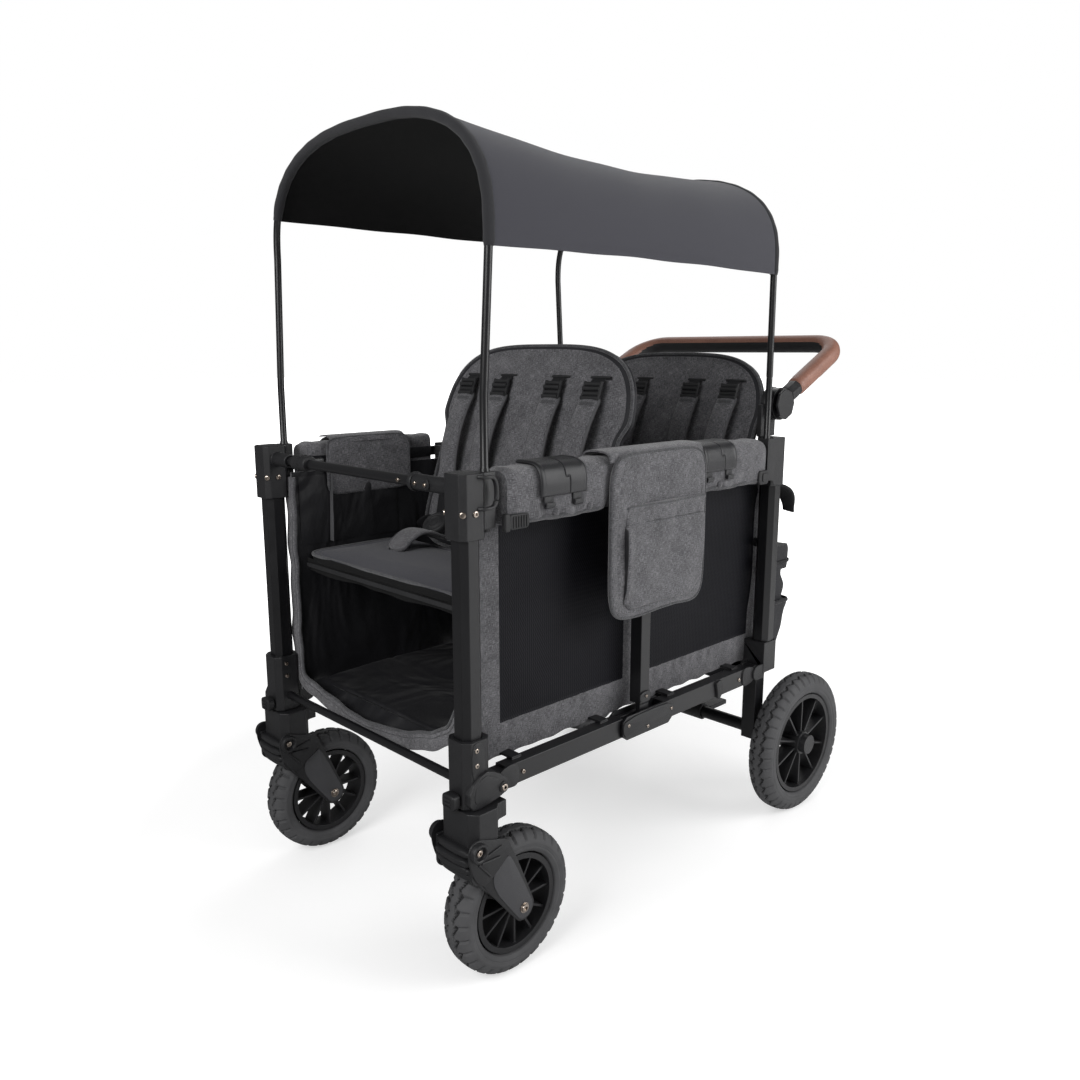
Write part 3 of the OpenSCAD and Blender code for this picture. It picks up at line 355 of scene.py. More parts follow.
def lining(name, tone, wrinkle=1.0, rough=0.6):
    """Thin cloth: long soft creases from stretched, warped noise, painted lighter on their crests and darker in
    their hollows as painted light and shade, and a fine plain weave.
    """
    f = Finish(name)
    crease = f.node("ShaderNodeTexNoise", {},
                    {"Vector": f.stretched((6, 8, 3.6)), "Scale": 1, "Detail": 2, "Distortion": 1.2})
    small, thread = f.noise(45, 3), f.noise(1600, 1)
    pale = tuple(1.9*t + 0.002 for t in tone)
    # The colour follows the crease height: paler on the crests as painted highlight, darker in the hollows as
    # painted shade; the thread noise is the weave's own tone.
    return f.surface(f.mix(crease*0.6 + thread*0.3, tone, pale), crease*0.2 + (rough - 0.1),
                     crease*16*wrinkle + small*0.7*wrinkle + thread*0.1, 0.0016, 0.7, sheen_weight=0.04,
                     specular_ior_level=0.34)


def canopy_cloth(name, tone, pale, sheen=0.12):
    """Tight plain weave, evenly dyed, with the faintest slubs along the weft."""
    f = Finish(name, "UV")
    slub, slow, fleck = f.noise(1, 2, (160, 1600, 1)), f.noise(6, 3), f.noise(1900, 1)
    return f.surface(f.mix(slub*0.45 + slow*0.25 + fleck*0.3, tone, pale), slow*0.1 + 0.78,
                     weave_bump(f, 0.0009)*0.35 + slub*0.3 + slow*3, 0.0005, 0.4, sheen_weight=sheen,
                     specular_ior_level=0.2)


def webbing(name, tone, pale):
    """Woven strap: ribs 1.6 mm apart across its length."""
    f = Finish(name, "UV")
    rib = (f.axis("X")*(2*math.pi/0.0016)).math("SINE")*(f.axis("Y")*(2*math.pi/0.0022)).math("SINE")
    fleck = f.noise(1100, 2)
    return f.surface(f.mix(fleck*0.6 + rib*0.2 + 0.1, tone, pale), 0.7, rib, 0.0004, 0.5, specular_ior_level=0.3)


GREY = heather("heather_grey", (0.035, 0.0345, 0.037), (0.080, 0.079, 0.085), (0.185, 0.182, 0.193))
PIPING = heather("heather_piping", (0.022, 0.022, 0.024), (0.050, 0.050, 0.054), (0.10, 0.10, 0.106))
MESH = knitted_mesh("black_knitted_mesh")
LINING = lining("black_lining", (0.0050, 0.0050, 0.0062), 1.3, 0.52)
BAG_CLOTH = lining("black_bag_cloth", (0.0085, 0.0085, 0.0105), 0.7, 0.7)
CANOPY_OUT = canopy_cloth("charcoal_canopy_cloth", (0.033, 0.033, 0.040), (0.058, 0.058, 0.070))
CANOPY_IN = canopy_cloth("black_canopy_lining", (0.0032, 0.0032, 0.0034), (0.0060, 0.0060, 0.0064), 0.02)
CUFF = canopy_cloth("dark_canopy_binding", (0.014, 0.014, 0.016), (0.027, 0.027, 0.030))
BLACK_WEB = webbing("black_webbing", (0.007, 0.007, 0.008), (0.020, 0.020, 0.022))
GREY_WEB = webbing("grey_webbing", (0.045, 0.045, 0.048), (0.105, 0.105, 0.11))
print("cloth finishes", len(bpy.data.materials))

# %% [markdown]
# ## Surfaces from grids
# A tyre, a cushion or a sleeve is a grid of points: one parameter runs along it, the other round its
# section. Drawing polygons by hand would give the same mesh, but a formula keeps the size tied to the CAD
# model and is easy to change. `Piece` collects such grids, joins neighbours to quads, adds a UV map
# that counts metres along the cloth, and makes one object that rides on a body of the CAD model.

# %% Piece and section helpers
def fill_with_air(piece, pressure, cap, frames=20):
    """Cloth simulation with air inside: held points stay, and no other point moves further than cap mm."""
    mesh = piece.data
    held, start = np.zeros(len(mesh.vertices), np.float32), np.zeros(3*len(mesh.vertices), np.float32)
    mesh.attributes["held"].data.foreach_get("value", held)
    mesh.vertices.foreach_get("co", start)
    piece.vertex_groups.new(name="seam").add(np.flatnonzero(held > 0.5).tolist(), 1.0, "REPLACE")
    cloth = piece.modifiers.new("air", "CLOTH")
    cloth.settings.vertex_group_mass = "seam"
    cloth.settings.use_pressure = True
    cloth.settings.uniform_pressure_force = pressure
    cloth.settings.effector_weights.gravity = 0
    cloth.point_cache.frame_start, cloth.point_cache.frame_end = 1, frames
    for number in range(1, frames + 1):
        scene.frame_set(number)
    filled = piece.evaluated_get(bpy.context.evaluated_depsgraph_get()).data
    end = np.zeros_like(start)
    filled.vertices.foreach_get("co", end)
    move = (end - start).reshape(-1, 3)
    far = np.linalg.norm(move, axis=1, keepdims=True)
    move *= np.minimum(1, 0.001*cap/np.maximum(far, 1e-9))
    mesh.vertices.foreach_set("co", (start.reshape(-1, 3) + move).ravel())
    piece.modifiers.remove(cloth)
    piece.vertex_groups.clear()
    scene.frame_set(1)
    print(piece.name, "filled, largest move", round(1000*float(far.max()), 1), "mm")


class Piece:
    """Grids in millimetres that become one mesh object."""

    def __init__(self):
        self.points, self.quads, self.maps, self.finish, self.held, self.count = [], [], [], [], [], 0

    def grid(self, P, finish=0, loop_i=False, loop_j=False, cap=False, flat=None, held=0.0):
        """Quads between neighbours of P[i, j]; cap closes both ends of i by a fan. flat gives own UVs in mm,
        and held is 1 where a seam keeps the point in place when the piece is filled."""
        P = np.asarray(P, float)
        if cap:
            ends = np.repeat(P[[0, -1]].mean(axis=1, keepdims=True), P.shape[1], axis=1)
            P = np.concatenate([ends[:1], P, ends[1:]])
            if flat is not None:
                middle = np.repeat(flat[[0, -1]].mean(axis=1, keepdims=True), P.shape[1], axis=1)
                flat = np.concatenate([middle[:1], flat, middle[1:]])
        n, m = P.shape[:2]
        i, j = np.meshgrid(np.arange(n - (not loop_i)), np.arange(m - (not loop_j)), indexing="ij")
        corners = [(i, j), (i + 1, j), (i + 1, j + 1), (i, j + 1)]
        if flat is None:
            along = np.linalg.norm(np.diff(P, axis=0, append=P[:1]), axis=2).mean(axis=1)
            across = np.linalg.norm(np.diff(P, axis=1, append=P[:, :1]), axis=2).mean(axis=0)
            u, v = np.r_[0, np.cumsum(along)], np.r_[0, np.cumsum(across)]
            uv = np.stack([np.stack([u[a], v[b]], -1) for a, b in corners], 2)
        else:
            uv = np.stack([flat[a % n, b % m] for a, b in corners], 2)
        quads = np.stack([(a % n)*m + b % m for a, b in corners], -1)
        self.points.append(P.reshape(-1, 3))
        self.quads.append(quads.reshape(-1, 4) + self.count)
        self.maps.append(uv.reshape(-1, 2)*0.001)
        self.finish.append(np.broadcast_to(finish, i.shape).ravel())
        self.held.append(np.broadcast_to(held, (n, m)).ravel())
        self.count += n*m
        return self

    def solid(self, P, finish=0):
        """Closed rings with both ends capped."""
        return self.grid(P, finish, loop_j=True, cap=True)

    def tube(self, finish, *sweep):
        """A section swept along a path, with both ends capped."""
        return self.solid(swept(*sweep), finish)

    def cord(self, finish, points, count, thick, up):
        """A round cord along a closed line."""
        ring = evenly(points, count, closed=True)
        loop = np.concatenate([ring[-2:], ring, ring[:2]])
        return self.grid(swept(loop, oval(thick, thick, 8), up)[2:-2], finish, loop_i=True, loop_j=True)

    def sheet(self, outer, inner, first=0, second=0, rim=0):
        """Two layers of cloth, closed along their four edges."""
        self.grid(outer, first).grid(inner, second)
        skin = np.stack([outer, inner], 2)
        for edge, finish in zip((skin[0], skin[-1], skin[:, 0], skin[:, -1]), np.broadcast_to(rim, 4)):
            self.grid(edge, finish)
        return self

    def mirrored(self):
        """Adds the same grids on the other side of the wagon."""
        other = [p*(-1, 1, 1) for p in self.points]
        self.quads += [q + self.count for q in self.quads]
        self.points, self.maps = self.points + other, self.maps*2
        self.finish, self.held = self.finish*2, self.held*2
        self.count *= 2
        return self

    def object(self, name, body, finishes, slot, stands_for=(), sharp=50, level=0, air=0.0, cap=6.0):
        """The mesh with doubles merged and faces outwards, riding on a body of the CAD model."""
        mesh = bpy.data.meshes.new(name)
        mesh.from_pydata(metres(np.concatenate(self.points)).tolist(), [], np.concatenate(self.quads).tolist())
        for finish in finishes:
            mesh.materials.append(finish)
        mesh.polygons.foreach_set("material_index", np.concatenate(self.finish).astype(np.int32))
        mesh.uv_layers.new(name="cloth").uv.foreach_set("vector", np.concatenate(self.maps).ravel())
        held = np.concatenate(self.held).astype(np.float32)
        mesh.attributes.new("held", "FLOAT", "POINT").data.foreach_set("value", held)
        made = bmesh.new()
        made.from_mesh(mesh)
        bmesh.ops.remove_doubles(made, verts=made.verts, dist=2e-6)
        bmesh.ops.recalc_face_normals(made, faces=made.faces)
        made.to_mesh(mesh)
        made.free()
        mesh.shade_smooth()
        mesh.set_sharp_from_angle(angle=math.radians(sharp))
        piece = bpy.data.objects.new(name, mesh)
        scene.collection.objects.link(piece)
        if air:
            fill_with_air(piece, air, cap)
        if level:
            smooth = piece.modifiers.new("smooth", "SUBSURF")
            smooth.levels = smooth.render_levels = level
        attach(piece, body)
        if stands_for:
            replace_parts(piece, *stands_for)
        print(name, len(mesh.polygons), "faces")
        return piece


def rounded(points, cuts=2, closed=True):
    """Corner cutting: each corner is replaced by points a quarter along its two edges, cuts times."""
    P = np.asarray(points, float)
    for _ in range(cuts):
        Q = np.roll(P, -1, axis=0)
        R = np.stack([0.75*P + 0.25*Q, 0.25*P + 0.75*Q], 1).reshape(-1, P.shape[1])
        P = R if closed else np.concatenate([P[:1], R[1:-3], P[-1:]])
    return P


def evenly(points, count, closed=False):
    """The same line with count points at equal steps along it."""
    P = np.asarray(points, float)
    if closed:
        P = np.concatenate([P, P[:1]])
    s = np.r_[0, np.cumsum(np.linalg.norm(np.diff(P, axis=0), axis=1))]
    t = np.linspace(0, s[-1], count, endpoint=not closed)
    return np.stack([np.interp(t, s, P[:, k]) for k in range(P.shape[1])], -1)


def swept(path, section, up, scale=None):
    """Section points (a, b) carried along a path: a goes sideways, square to up and the path, b the other way."""
    path = np.asarray(path, float)
    along = np.gradient(path, axis=0)
    along /= np.linalg.norm(along, axis=1, keepdims=True)
    side = np.cross(along, np.asarray(up, float))
    side /= np.linalg.norm(side, axis=1, keepdims=True)
    rise = np.cross(side, along)
    scale = np.ones(len(path)) if scale is None else np.asarray(scale)
    a, b = np.asarray(section, float).T
    return path[:, None] + scale[:, None, None]*(a[None, :, None]*side[:, None] + b[None, :, None]*rise[:, None])


def signed(x, power):
    """A power that keeps the sign."""
    return np.sign(x)*abs(x)**power


def oval(width, thick, count=20, power=2.0):
    """Closed section: a superellipse, square-shouldered for a large power."""
    t = 2*np.pi*np.arange(count)/count
    return np.stack([width/2*signed(np.cos(t), 2/power), thick/2*signed(np.sin(t), 2/power)], -1)


def bell(x, width):
    """A smooth hump of height 1 round x = 0."""
    return np.exp(-(np.asarray(x)/width)**2)


def step(x, low, high):
    """0 below low, 1 above high, smooth between."""
    t = np.clip((np.asarray(x) - low)/(high - low), 0, 1)
    return t*t*(3 - 2*t)


def quarter(d, radius):
    """0 at a rim, 1 from radius on, and a quarter circle between, as on the edge of a cushion."""
    return np.sqrt(1 - (1 - np.clip(np.asarray(d)/radius, 0, 1))**2)


def soft_corners(corners, cuts, steps, count):
    """A closed polygon whose corners are curves, each beginning and ending a cut away from the corner."""
    mids = (corners + np.roll(corners, -1, axis=0))/2
    t = np.linspace(0, 1, steps)[:, None]
    loop = []
    for k, corner in enumerate(corners):
        a, b = (corner + cuts[k]*v/np.linalg.norm(v) for v in (mids[k - 1] - corner, mids[k] - corner))
        loop.append((1 - t)**2*a + 2*t*(1 - t)*corner + t*t*b)
    return evenly(np.concatenate(loop), count, closed=True)


print("grid helpers ready")

# %% [markdown]
# ## Rigid pieces with soft edges
# A moulded or welded piece never has a knife edge. Each rigid CAD node is copied, its loose triangles are
# merged into whole faces, and a Bevel modifier rounds the edges that are sharper than 35 degrees. The
# copy stands for the node, so the size stays as the CAD model has it; only the rear caps and brackets are
# drawn in by a few millimetres.

# %% Dress the rigid nodes
def slimmed(mesh, behind, wide, back):
    """What lies behind one plane is drawn in to a half width and to a rear plane, all in millimetres."""
    P = np.empty(3*len(mesh.vertices))
    mesh.vertices.foreach_get("co", P)
    P = P.reshape(-1, 3)
    far = P[:, 1] > (behind - MID)/1000
    P[:, 0] = np.where(far, np.clip(P[:, 0], -wide/1000, wide/1000), P[:, 0])
    P[:, 1] = np.minimum(P[:, 1], (back - MID)/1000)
    mesh.vertices.foreach_set("co", P.ravel())


def dress(node, finish, width=0.8, slim=None):
    """A merged copy of a CAD node with rounded edges of the given width, in millimetres."""
    mesh = frame["nodes"][node].data.copy()
    mesh.name = node + "_dressed"
    if slim:
        slimmed(mesh, *slim)
    made = bmesh.new()
    made.from_mesh(mesh)
    bmesh.ops.remove_doubles(made, verts=made.verts, dist=1e-5)
    bmesh.ops.dissolve_limit(made, angle_limit=math.radians(1), verts=made.verts, edges=made.edges)
    made.to_mesh(mesh)
    made.free()
    mesh.materials.clear()
    mesh.materials.append(finish)
    mesh.shade_smooth()
    mesh.set_sharp_from_angle(angle=math.radians(35))
    piece = bpy.data.objects.new(node + "_dressed", mesh)
    scene.collection.objects.link(piece)
    bevel = piece.modifiers.new("soft_edge", "BEVEL")
    bevel.width = width*0.001
    bevel.segments = 2
    bevel.limit_method = "ANGLE"
    bevel.angle_limit = math.radians(35)
    bevel.use_clamp_overlap = False
    bevel.harden_normals = True
    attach(piece, frame["nodes"][node]["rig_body"])
    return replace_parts(piece, node)


for node, width in (("front_posts", 0.9), ("rear_posts", 0.9), ("lower_front_rails", 1.2),
                    ("lower_rear_rails", 1.2), ("hinge_plates", 1.1), ("centre_posts", 1.2),
                    ("front_seat_bar", 1.0), ("rear_seat_bar", 1.0), ("upper_front_rails", 0.8),
                    ("upper_rear_rails", 0.8), ("rear_legs", 1.2), ("rear_bars", 0.8), ("front_bars", 0.8)):
    dress(node, PAINT, width)
for node, width in (("front_caps", 1.6), ("front_brackets", 1.2), ("handle_uprights", 1.4), ("brake_pedal", 1.5),
                    ("caster_housing_left", 1.6), ("caster_housing_right", 1.6), ("front_rim_left", 0.7),
                    ("front_rim_right", 0.7), ("rear_rim_left", 0.7), ("rear_rim_right", 0.7),
                    ("hub_button_left", 2.2), ("hub_button_right", 2.2)):
    dress(node, NYLON, width)
DRAWN_IN_BEHIND, DRAWN_IN_HALF, DRAWN_IN_REAR = 361.9, 284.4, 404.4
for node in ("rear_caps", "rear_brackets"):
    dress(node, NYLON, 1.2, slim=(DRAWN_IN_BEHIND, DRAWN_IN_HALF, DRAWN_IN_REAR))
for node in ("caster_fork_left", "caster_fork_right"):
    dress(node, NYLON, 1.6)
dress("handle_tube", PAINT, 0.6)
for node in ("front_axle_left", "front_axle_right", "rear_axles"):
    dress(node, NICKEL, 0.5)

# %% [markdown]
# ## Tyres
# The tyres are foam-filled rubber with a block tread: a zigzag groove on each side of the middle and
# cross grooves that run over the shoulders, staggered left and right, so that six-sided blocks stand
# between them. A displaced texture would do, but real grooves also show in the outline. The section
# is revolved round the axle, and the groove depth is taken off along it.

# %% Four tyres
def tyre(radius, width, seat, blocks):
    """The section round the axle, less a groove depth that depends on the angle and the place across, and
    1 for each quad on the floor of a groove, which is painted dark as painted shade in the groove."""
    half = np.array([(seat + 0.4, width/2 - 6.5), (seat + 8, width/2 - 1.2), (seat + 14, width/2 - 0.2),
                     (radius - 16, width/2 - 0.2), (radius - 5, width/2 - 6), (radius + 0.6, width/2 - 15)])
    profile = rounded(np.concatenate([half, half[::-1]*(1, -1)]), 2)
    profile = evenly(profile, 120, closed=True)
    r, x = profile.T
    share = np.array([0, 0.06, 0.085, 0.25, 0.415, 0.44, 0.5, 0.56, 0.585, 0.75, 0.915, 0.94])
    turn = (np.arange(blocks)[:, None] + share).ravel()/blocks
    beat = turn[:, None]*blocks + 0.5*(x < 0) + 0.012*abs(x)
    cross = abs(beat - np.round(beat))*2*np.pi*radius/blocks
    cut = (1 - step(cross, 1.3, 2.0))*step(abs(x), 5.5, 8)
    ridge = 9.5 + 4.6*(4*abs(beat - np.floor(beat) - 0.5) - 1)
    cut = np.maximum(cut, 1 - step(abs(abs(x) - ridge), 1.2, 2.0))
    depth = 4.0*cut*step(r, radius - 22, radius - 12)
    rings = 0.9*bell(r - (seat + 11), 1.4) + 0.7*bell(r - (radius - 21), 1.2)
    flank = np.sign(x)*rings*(abs(x) > width/2 - 4)
    rr = r - depth*step(r, radius - 14, radius - 3)
    xx = x - depth*np.sign(x)*0.7*(1 - step(r, radius - 12, radius - 3)) - flank
    angle = 2*np.pi*turn[:, None] + 0*rr
    # A quad whose corners lie deep in a groove gets the dark finish: painted shade on the groove floor.
    groove_floor_shade = sum(np.roll(depth, shift, (0, 1)) for shift in ((0, 0), (-1, 0), (0, -1), (-1, -1))) > 9
    return np.stack([xx + 0*angle, rr*np.cos(angle), rr*np.sin(angle)], -1), np.where(groove_floor_shade, 1, 0)


WHEEL_X, WHEEL_Y, WHEEL_Z = 265, -311, 114
for name, body, place, sizes in (("front", "front_wheel", (WHEEL_X, WHEEL_Y, WHEEL_Z), (114, 56, 79, 30)),
                                 ("rear", "rear_wheel", (296, 478, 145), (145, 53, 104, 40))):
    for side, s in (("left", 1), ("right", -1)):
        # The groove floors take the dark nylon finish as painted shade.
        P, grooves = tyre(*sizes)
        P = P*(s, 1, 1) + np.multiply(place, (s, 1, 1))
        Piece().grid(P, grooves, loop_i=True, loop_j=True).object(
            f"{name}_tyre_tread_{side}", f"{body}_{side}", [RUBBER, DARK_NYLON], "tyre",
            [f"{name}_tyre_{side}"], 32)

# %% [markdown]
# ## Canopy
# One piece of charcoal cloth with a black lining lies over two bows; a bound sleeve takes each bow, and
# the cloth sags a little between them. It is a closed sheet under 3 mm thick: the arch is a superellipse across
# the wagon, carried along it, and the near flap hangs lower than the far one. When the frame folds, the
# bows come together; the sheet rides on the rear bow, and the front sleeve rides on the front bow.
# The bows are drawn again a little thinner than their solids, with straight legs: outside its socket a leg is
# a slim tube that leans a few millimetres towards the arch.

# %% Canopy sheet and sleeves
BOW_Z, BOW_W, HOOP_Y, RISE, BOW_OUT = 1100, 272, 345, 177, 4
ARCH = 2/2.7
HEM_LEFT, HEM_RIGHT = 1083, 1165


def arch(rise, out, count=150):
    """Superellipse arch from the left hem over the top to the right hem, moved outwards by out."""
    h, w = np.asarray(rise, float)[:, None] + out, BOW_W + out
    end = np.pi - np.arcsin(((HEM_RIGHT - BOW_Z)/h)**(1/ARCH))
    a = end*np.linspace(0, 1, count - 6)
    x = w*signed(np.cos(a), ARCH)
    z = BOW_Z + h*np.sin(a)**ARCH
    drop = np.linspace(HEM_LEFT, BOW_Z, 6, endpoint=False) + 0*h
    return np.concatenate([w + 0*drop, x], 1), np.concatenate([drop, z], 1)


v = np.linspace(0, 1, 90)
sag = 21*np.sin(np.pi*v)
pull = 5*np.sin(np.pi*v)**1.2
rows = -346 + 692*v
shells = []
for out in (9.4, 6.8):
    x, z = arch(RISE - 16*v - sag, out)
    ripple = 0.7*np.sin(rows[:, None]/31 + x/90)*np.sin(np.pi*v)[:, None]
    flap = step(np.arange(x.shape[1]), 10, 0)*np.sin(np.pi*v)[:, None]
    x = x - np.sign(x)*pull[:, None]*step(abs(x), 150, 265) + ripple*0.6 - 3*flap
    shells.append(np.stack([x, rows[:, None] + 0*x, z + ripple + 5*flap], -1))
canopy = Piece().sheet(*shells, 0, 1, 2).object(
    "canopy_sheet", "rear_canopy", [CANOPY_OUT, CANOPY_IN, CUFF], "canopy_cloth", ["canopy"], 60)
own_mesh(canopy)


def bow_sleeve(y, rise, radius):
    """A round sleeve along the bow from hem to hem, drawn in at both ends."""
    x, z = arch(np.array([rise]), BOW_OUT, 120)
    path = np.stack([x[0], np.full(120, y), z[0]], -1)
    k = np.arange(120)
    swell = 1 + 0.03*np.sin(k*0.9) - 0.14*bell(k, 2) - 0.14*bell(k - 119, 2)
    return swept(path, oval(2*radius, 2*radius, 20, 2.3), (0, 1, 0), swell)


SOCKET_Y, SOCKET_TOP, LEG_STRAIGHT, LEG_FOOT = 354, 790, 886, 700


def bow(s, rise):
    """A straight leg out of each socket and a half superellipse between them; s is -1 at the front."""
    a = np.linspace(0, np.pi, 120)
    x = (BOW_W + BOW_OUT)*signed(np.cos(a), ARCH)
    over = np.stack([x, np.full(120, s*HOOP_Y), BOW_Z + (rise + BOW_OUT)*abs(np.sin(a))**ARCH], -1)
    t = np.linspace(0, 1, 40)[:-1, None]
    upright = np.array([(BOW_W, s*SOCKET_Y, z) for z in (LEG_FOOT, SOCKET_TOP - 2, SOCKET_TOP, LEG_STRAIGHT)])
    leg = np.concatenate([upright[:3], upright[3] + t*(over[0] - upright[3])])
    path = np.concatenate([leg, over, leg[::-1]*(-1, 1, 1)])
    return swept(path, oval(14, 14, 20), (0, 1, 0), np.where(path[:, 2] < SOCKET_TOP, 1, 0.85))


for name, s, rise in (("front", -1, RISE), ("rear", 1, RISE - 16)):
    Piece().solid(bow_sleeve(s*HOOP_Y, rise, 7.8)).object(
        f"{name}_bow_sleeve", f"{name}_canopy", [CUFF], "canopy_cloth", sharp=60)
    Piece().solid(bow(s, rise)).object(
        f"{name}_bow_tube", f"{name}_canopy", [PAINT], "alloy", [f"{name}_hoop"], 60)
print("canopy done")

# %% [markdown]
# ## Tub
# The tub is sewn from grey heather strips round black mesh windows, with a black lining, and its hem
# puckers where the thread draws it in. Each side wall is a grid over length and height. Its distance from
# the middle plane carries the puckers, the raised strips and the slack of the mesh, and each quad takes
# the finish of the panel it lies in. The wall is closed by a lining a few millimetres further in.

# %% Side walls with windows
TUB_X, TUB_LOW, TUB_TOP = 238, 336, 737
WINDOWS, WINDOW_LOW, WINDOW_TOP = ((-299, -13), (15, 366)), 390, 697


def lines_with(edges, count):
    """Even steps plus a close pair of lines on each seam, so that a change of finish falls on a grid line."""
    low, high = edges[0], edges[-1]
    seams = np.ravel([[e - 0.8, e, e + 0.8] for e in edges[1:-1]])
    even = np.linspace(low, high, count)
    even = even[np.abs(even[:, None] - seams).min(axis=1) > 1.6]
    return np.sort(np.r_[even, seams])


def pucker(s, seed):
    """Uneven gathers along a seam: three sines with lengths that never meet."""
    return 0.5*np.sin(s/4.3 + seed) + 0.35*np.sin(s/7.1 + 2.3*seed) + 0.3*np.sin(s/11.9 + 0.7*seed)


def wall_grid():
    """The outside of a wall and which finish each quad has: 0 heather, 1 mesh."""
    (a0, a1), (b0, b1) = WINDOWS
    y = lines_with((-364, a0, a1, b0, b1, 396), 216)
    z = lines_with((TUB_LOW, WINDOW_LOW, WINDOW_TOP, TUB_TOP), 82)
    Y, Z = np.meshgrid(y, z, indexing="ij")
    inside = (((Y > a0) & (Y < a1)) | ((Y > b0) & (Y < b1))) & (Z > WINDOW_LOW) & (Z < WINDOW_TOP)
    ends = np.minimum(abs(Y - a0), abs(Y - a1))*(Y < a1) + np.minimum(abs(Y - b0), abs(Y - b1))*(Y > a1)
    middle = np.minimum(np.clip(ends/60, 0, 1), np.clip((Z - WINDOW_LOW)/60, 0, 1))*inside
    gather = 1.9*pucker(Y, 1.0)*bell(Z - 379, 11) + 2.2*pucker(Y*0.6 + 0.1*Z, 4.0)*bell(Z - 354, 18)
    upright = pucker(Z, 2.0)*(bell(Y + 332, 26) + bell(Y - 382, 12)) + 0.8*pucker(Z*0.9, 5.0)*bell(Y - 1, 10)
    drag = 0.6*np.sin(Y/24 + Z/70)*np.sin(Z/55)*middle
    X = TUB_X - 0.4 + gather*(1 - 0.6*inside) + upright*(1 - 0.5*inside) - 0.8*inside - 1.0*middle + drag
    X = np.minimum(X, 241.5) - 1.2*bell(Z - 387.5, 0.9)
    wave = 20*step(Z, 400, 690) + 6*np.sin((Z - 430)/44)*step(Z, 418, 470)*(1 - step(Z, 640, 690))
    wave = wave*bell(Y - b1, 22)*step(-Y, -396, -380)
    sway = 2.2*pucker(Y*0.55, 3.0)*bell(Z - TUB_LOW, 12)
    framed = ((Y >= a0) & (Y <= a1) | (Y >= b0) & (Y <= b1)) & (Z >= WINDOW_LOW) & (Z <= WINDOW_TOP)
    return np.stack([X, Y + wave, Z + sway], -1), np.where(framed[:-1, :-1] & framed[1:, 1:], 1, 0)


outer, panels = wall_grid()
x, y, z = np.moveaxis(outer, -1, 0)
fold = np.sin(y/17 + 1.4*np.sin(z/60)) + 0.6*np.sin(y/7.3 + z/40)
lining_x = np.minimum(233.9 + np.clip(fold, -1.2, 1.2)*step(z, TUB_LOW, 400), x - 1)
tub = Piece().sheet(outer, np.stack([lining_x, y, z], -1), panels, 2).mirrored()
X, Z = np.meshgrid(np.linspace(-236, 236, 120), np.linspace(TUB_LOW, 700, 60), indexing="ij")
billow = 1.2*np.sin(X/21 + 1.2*np.sin(Z/50))*step(Z, 352, 420)
tub.sheet(np.stack([X, 399 + 0*X, Z], -1), np.stack([X, 397 + np.clip(billow, -1.2, 1.2), Z], -1), 2, 2)
tub = tub.object("tub_walls", "rear_frame", [GREY, MESH, LINING], "black_cloth", ["tub"], 60)
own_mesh(tub)

# %% [markdown]
# ## Backrests
# Each backrest is a foam board in a sewn cover: heather in front, black cloth round the rim and behind,
# and a piped edge between them. A square grid is carried onto the cover's outline, so the quads stay even
# and every seam is a grid line. Then the cover is filled: a cloth simulation with air inside swells it
# between the seams, which hold still, and that gives the slight unevenness of real upholstery.

# %% Two backrests with piping
LEAN = math.radians(18.5)
SEAT_Z = 575
FRONT_SEAT, REAR_SEAT = -133, 272
FRONT_BACK, REAR_BACK = 401, 385


def on_slope(y0, x, n, h):
    """Points of a seat's own frame in the wagon: n counts backwards, h up along the slope from the seat bar."""
    y = y0 + n*math.cos(LEAN) + h*math.sin(LEAN)
    return np.stack(np.broadcast_arrays(x, y, SEAT_Z - n*math.sin(LEAN) + h*math.cos(LEAN)), -1)


def squircle_grid(t, n_low, n_high):
    """A square grid carried onto the unit superellipse; also the share of the way to its rim."""
    U, V = np.meshgrid(t, t, indexing="ij")
    m = np.maximum(abs(U), abs(V))
    power = np.where(V > 0, n_high, n_low)
    shrink = m/np.maximum((abs(U)**power + abs(V)**power)**(1/power), 1e-9)
    return U*shrink, V*shrink, m


def ring_steps(radius, pitch):
    """Steps from the middle to the rim: a rounded edge and a seam line first, then even steps of one pitch."""
    edge = np.array([0, 1.2, 3.4, 6.5, 10, 13.4, 15, 16.6, 20])
    d = np.r_[edge, np.linspace(20, radius, int((radius - 20)/pitch))[1:]]
    return np.unique(np.r_[-(1 - d/radius), 1 - d/radius])


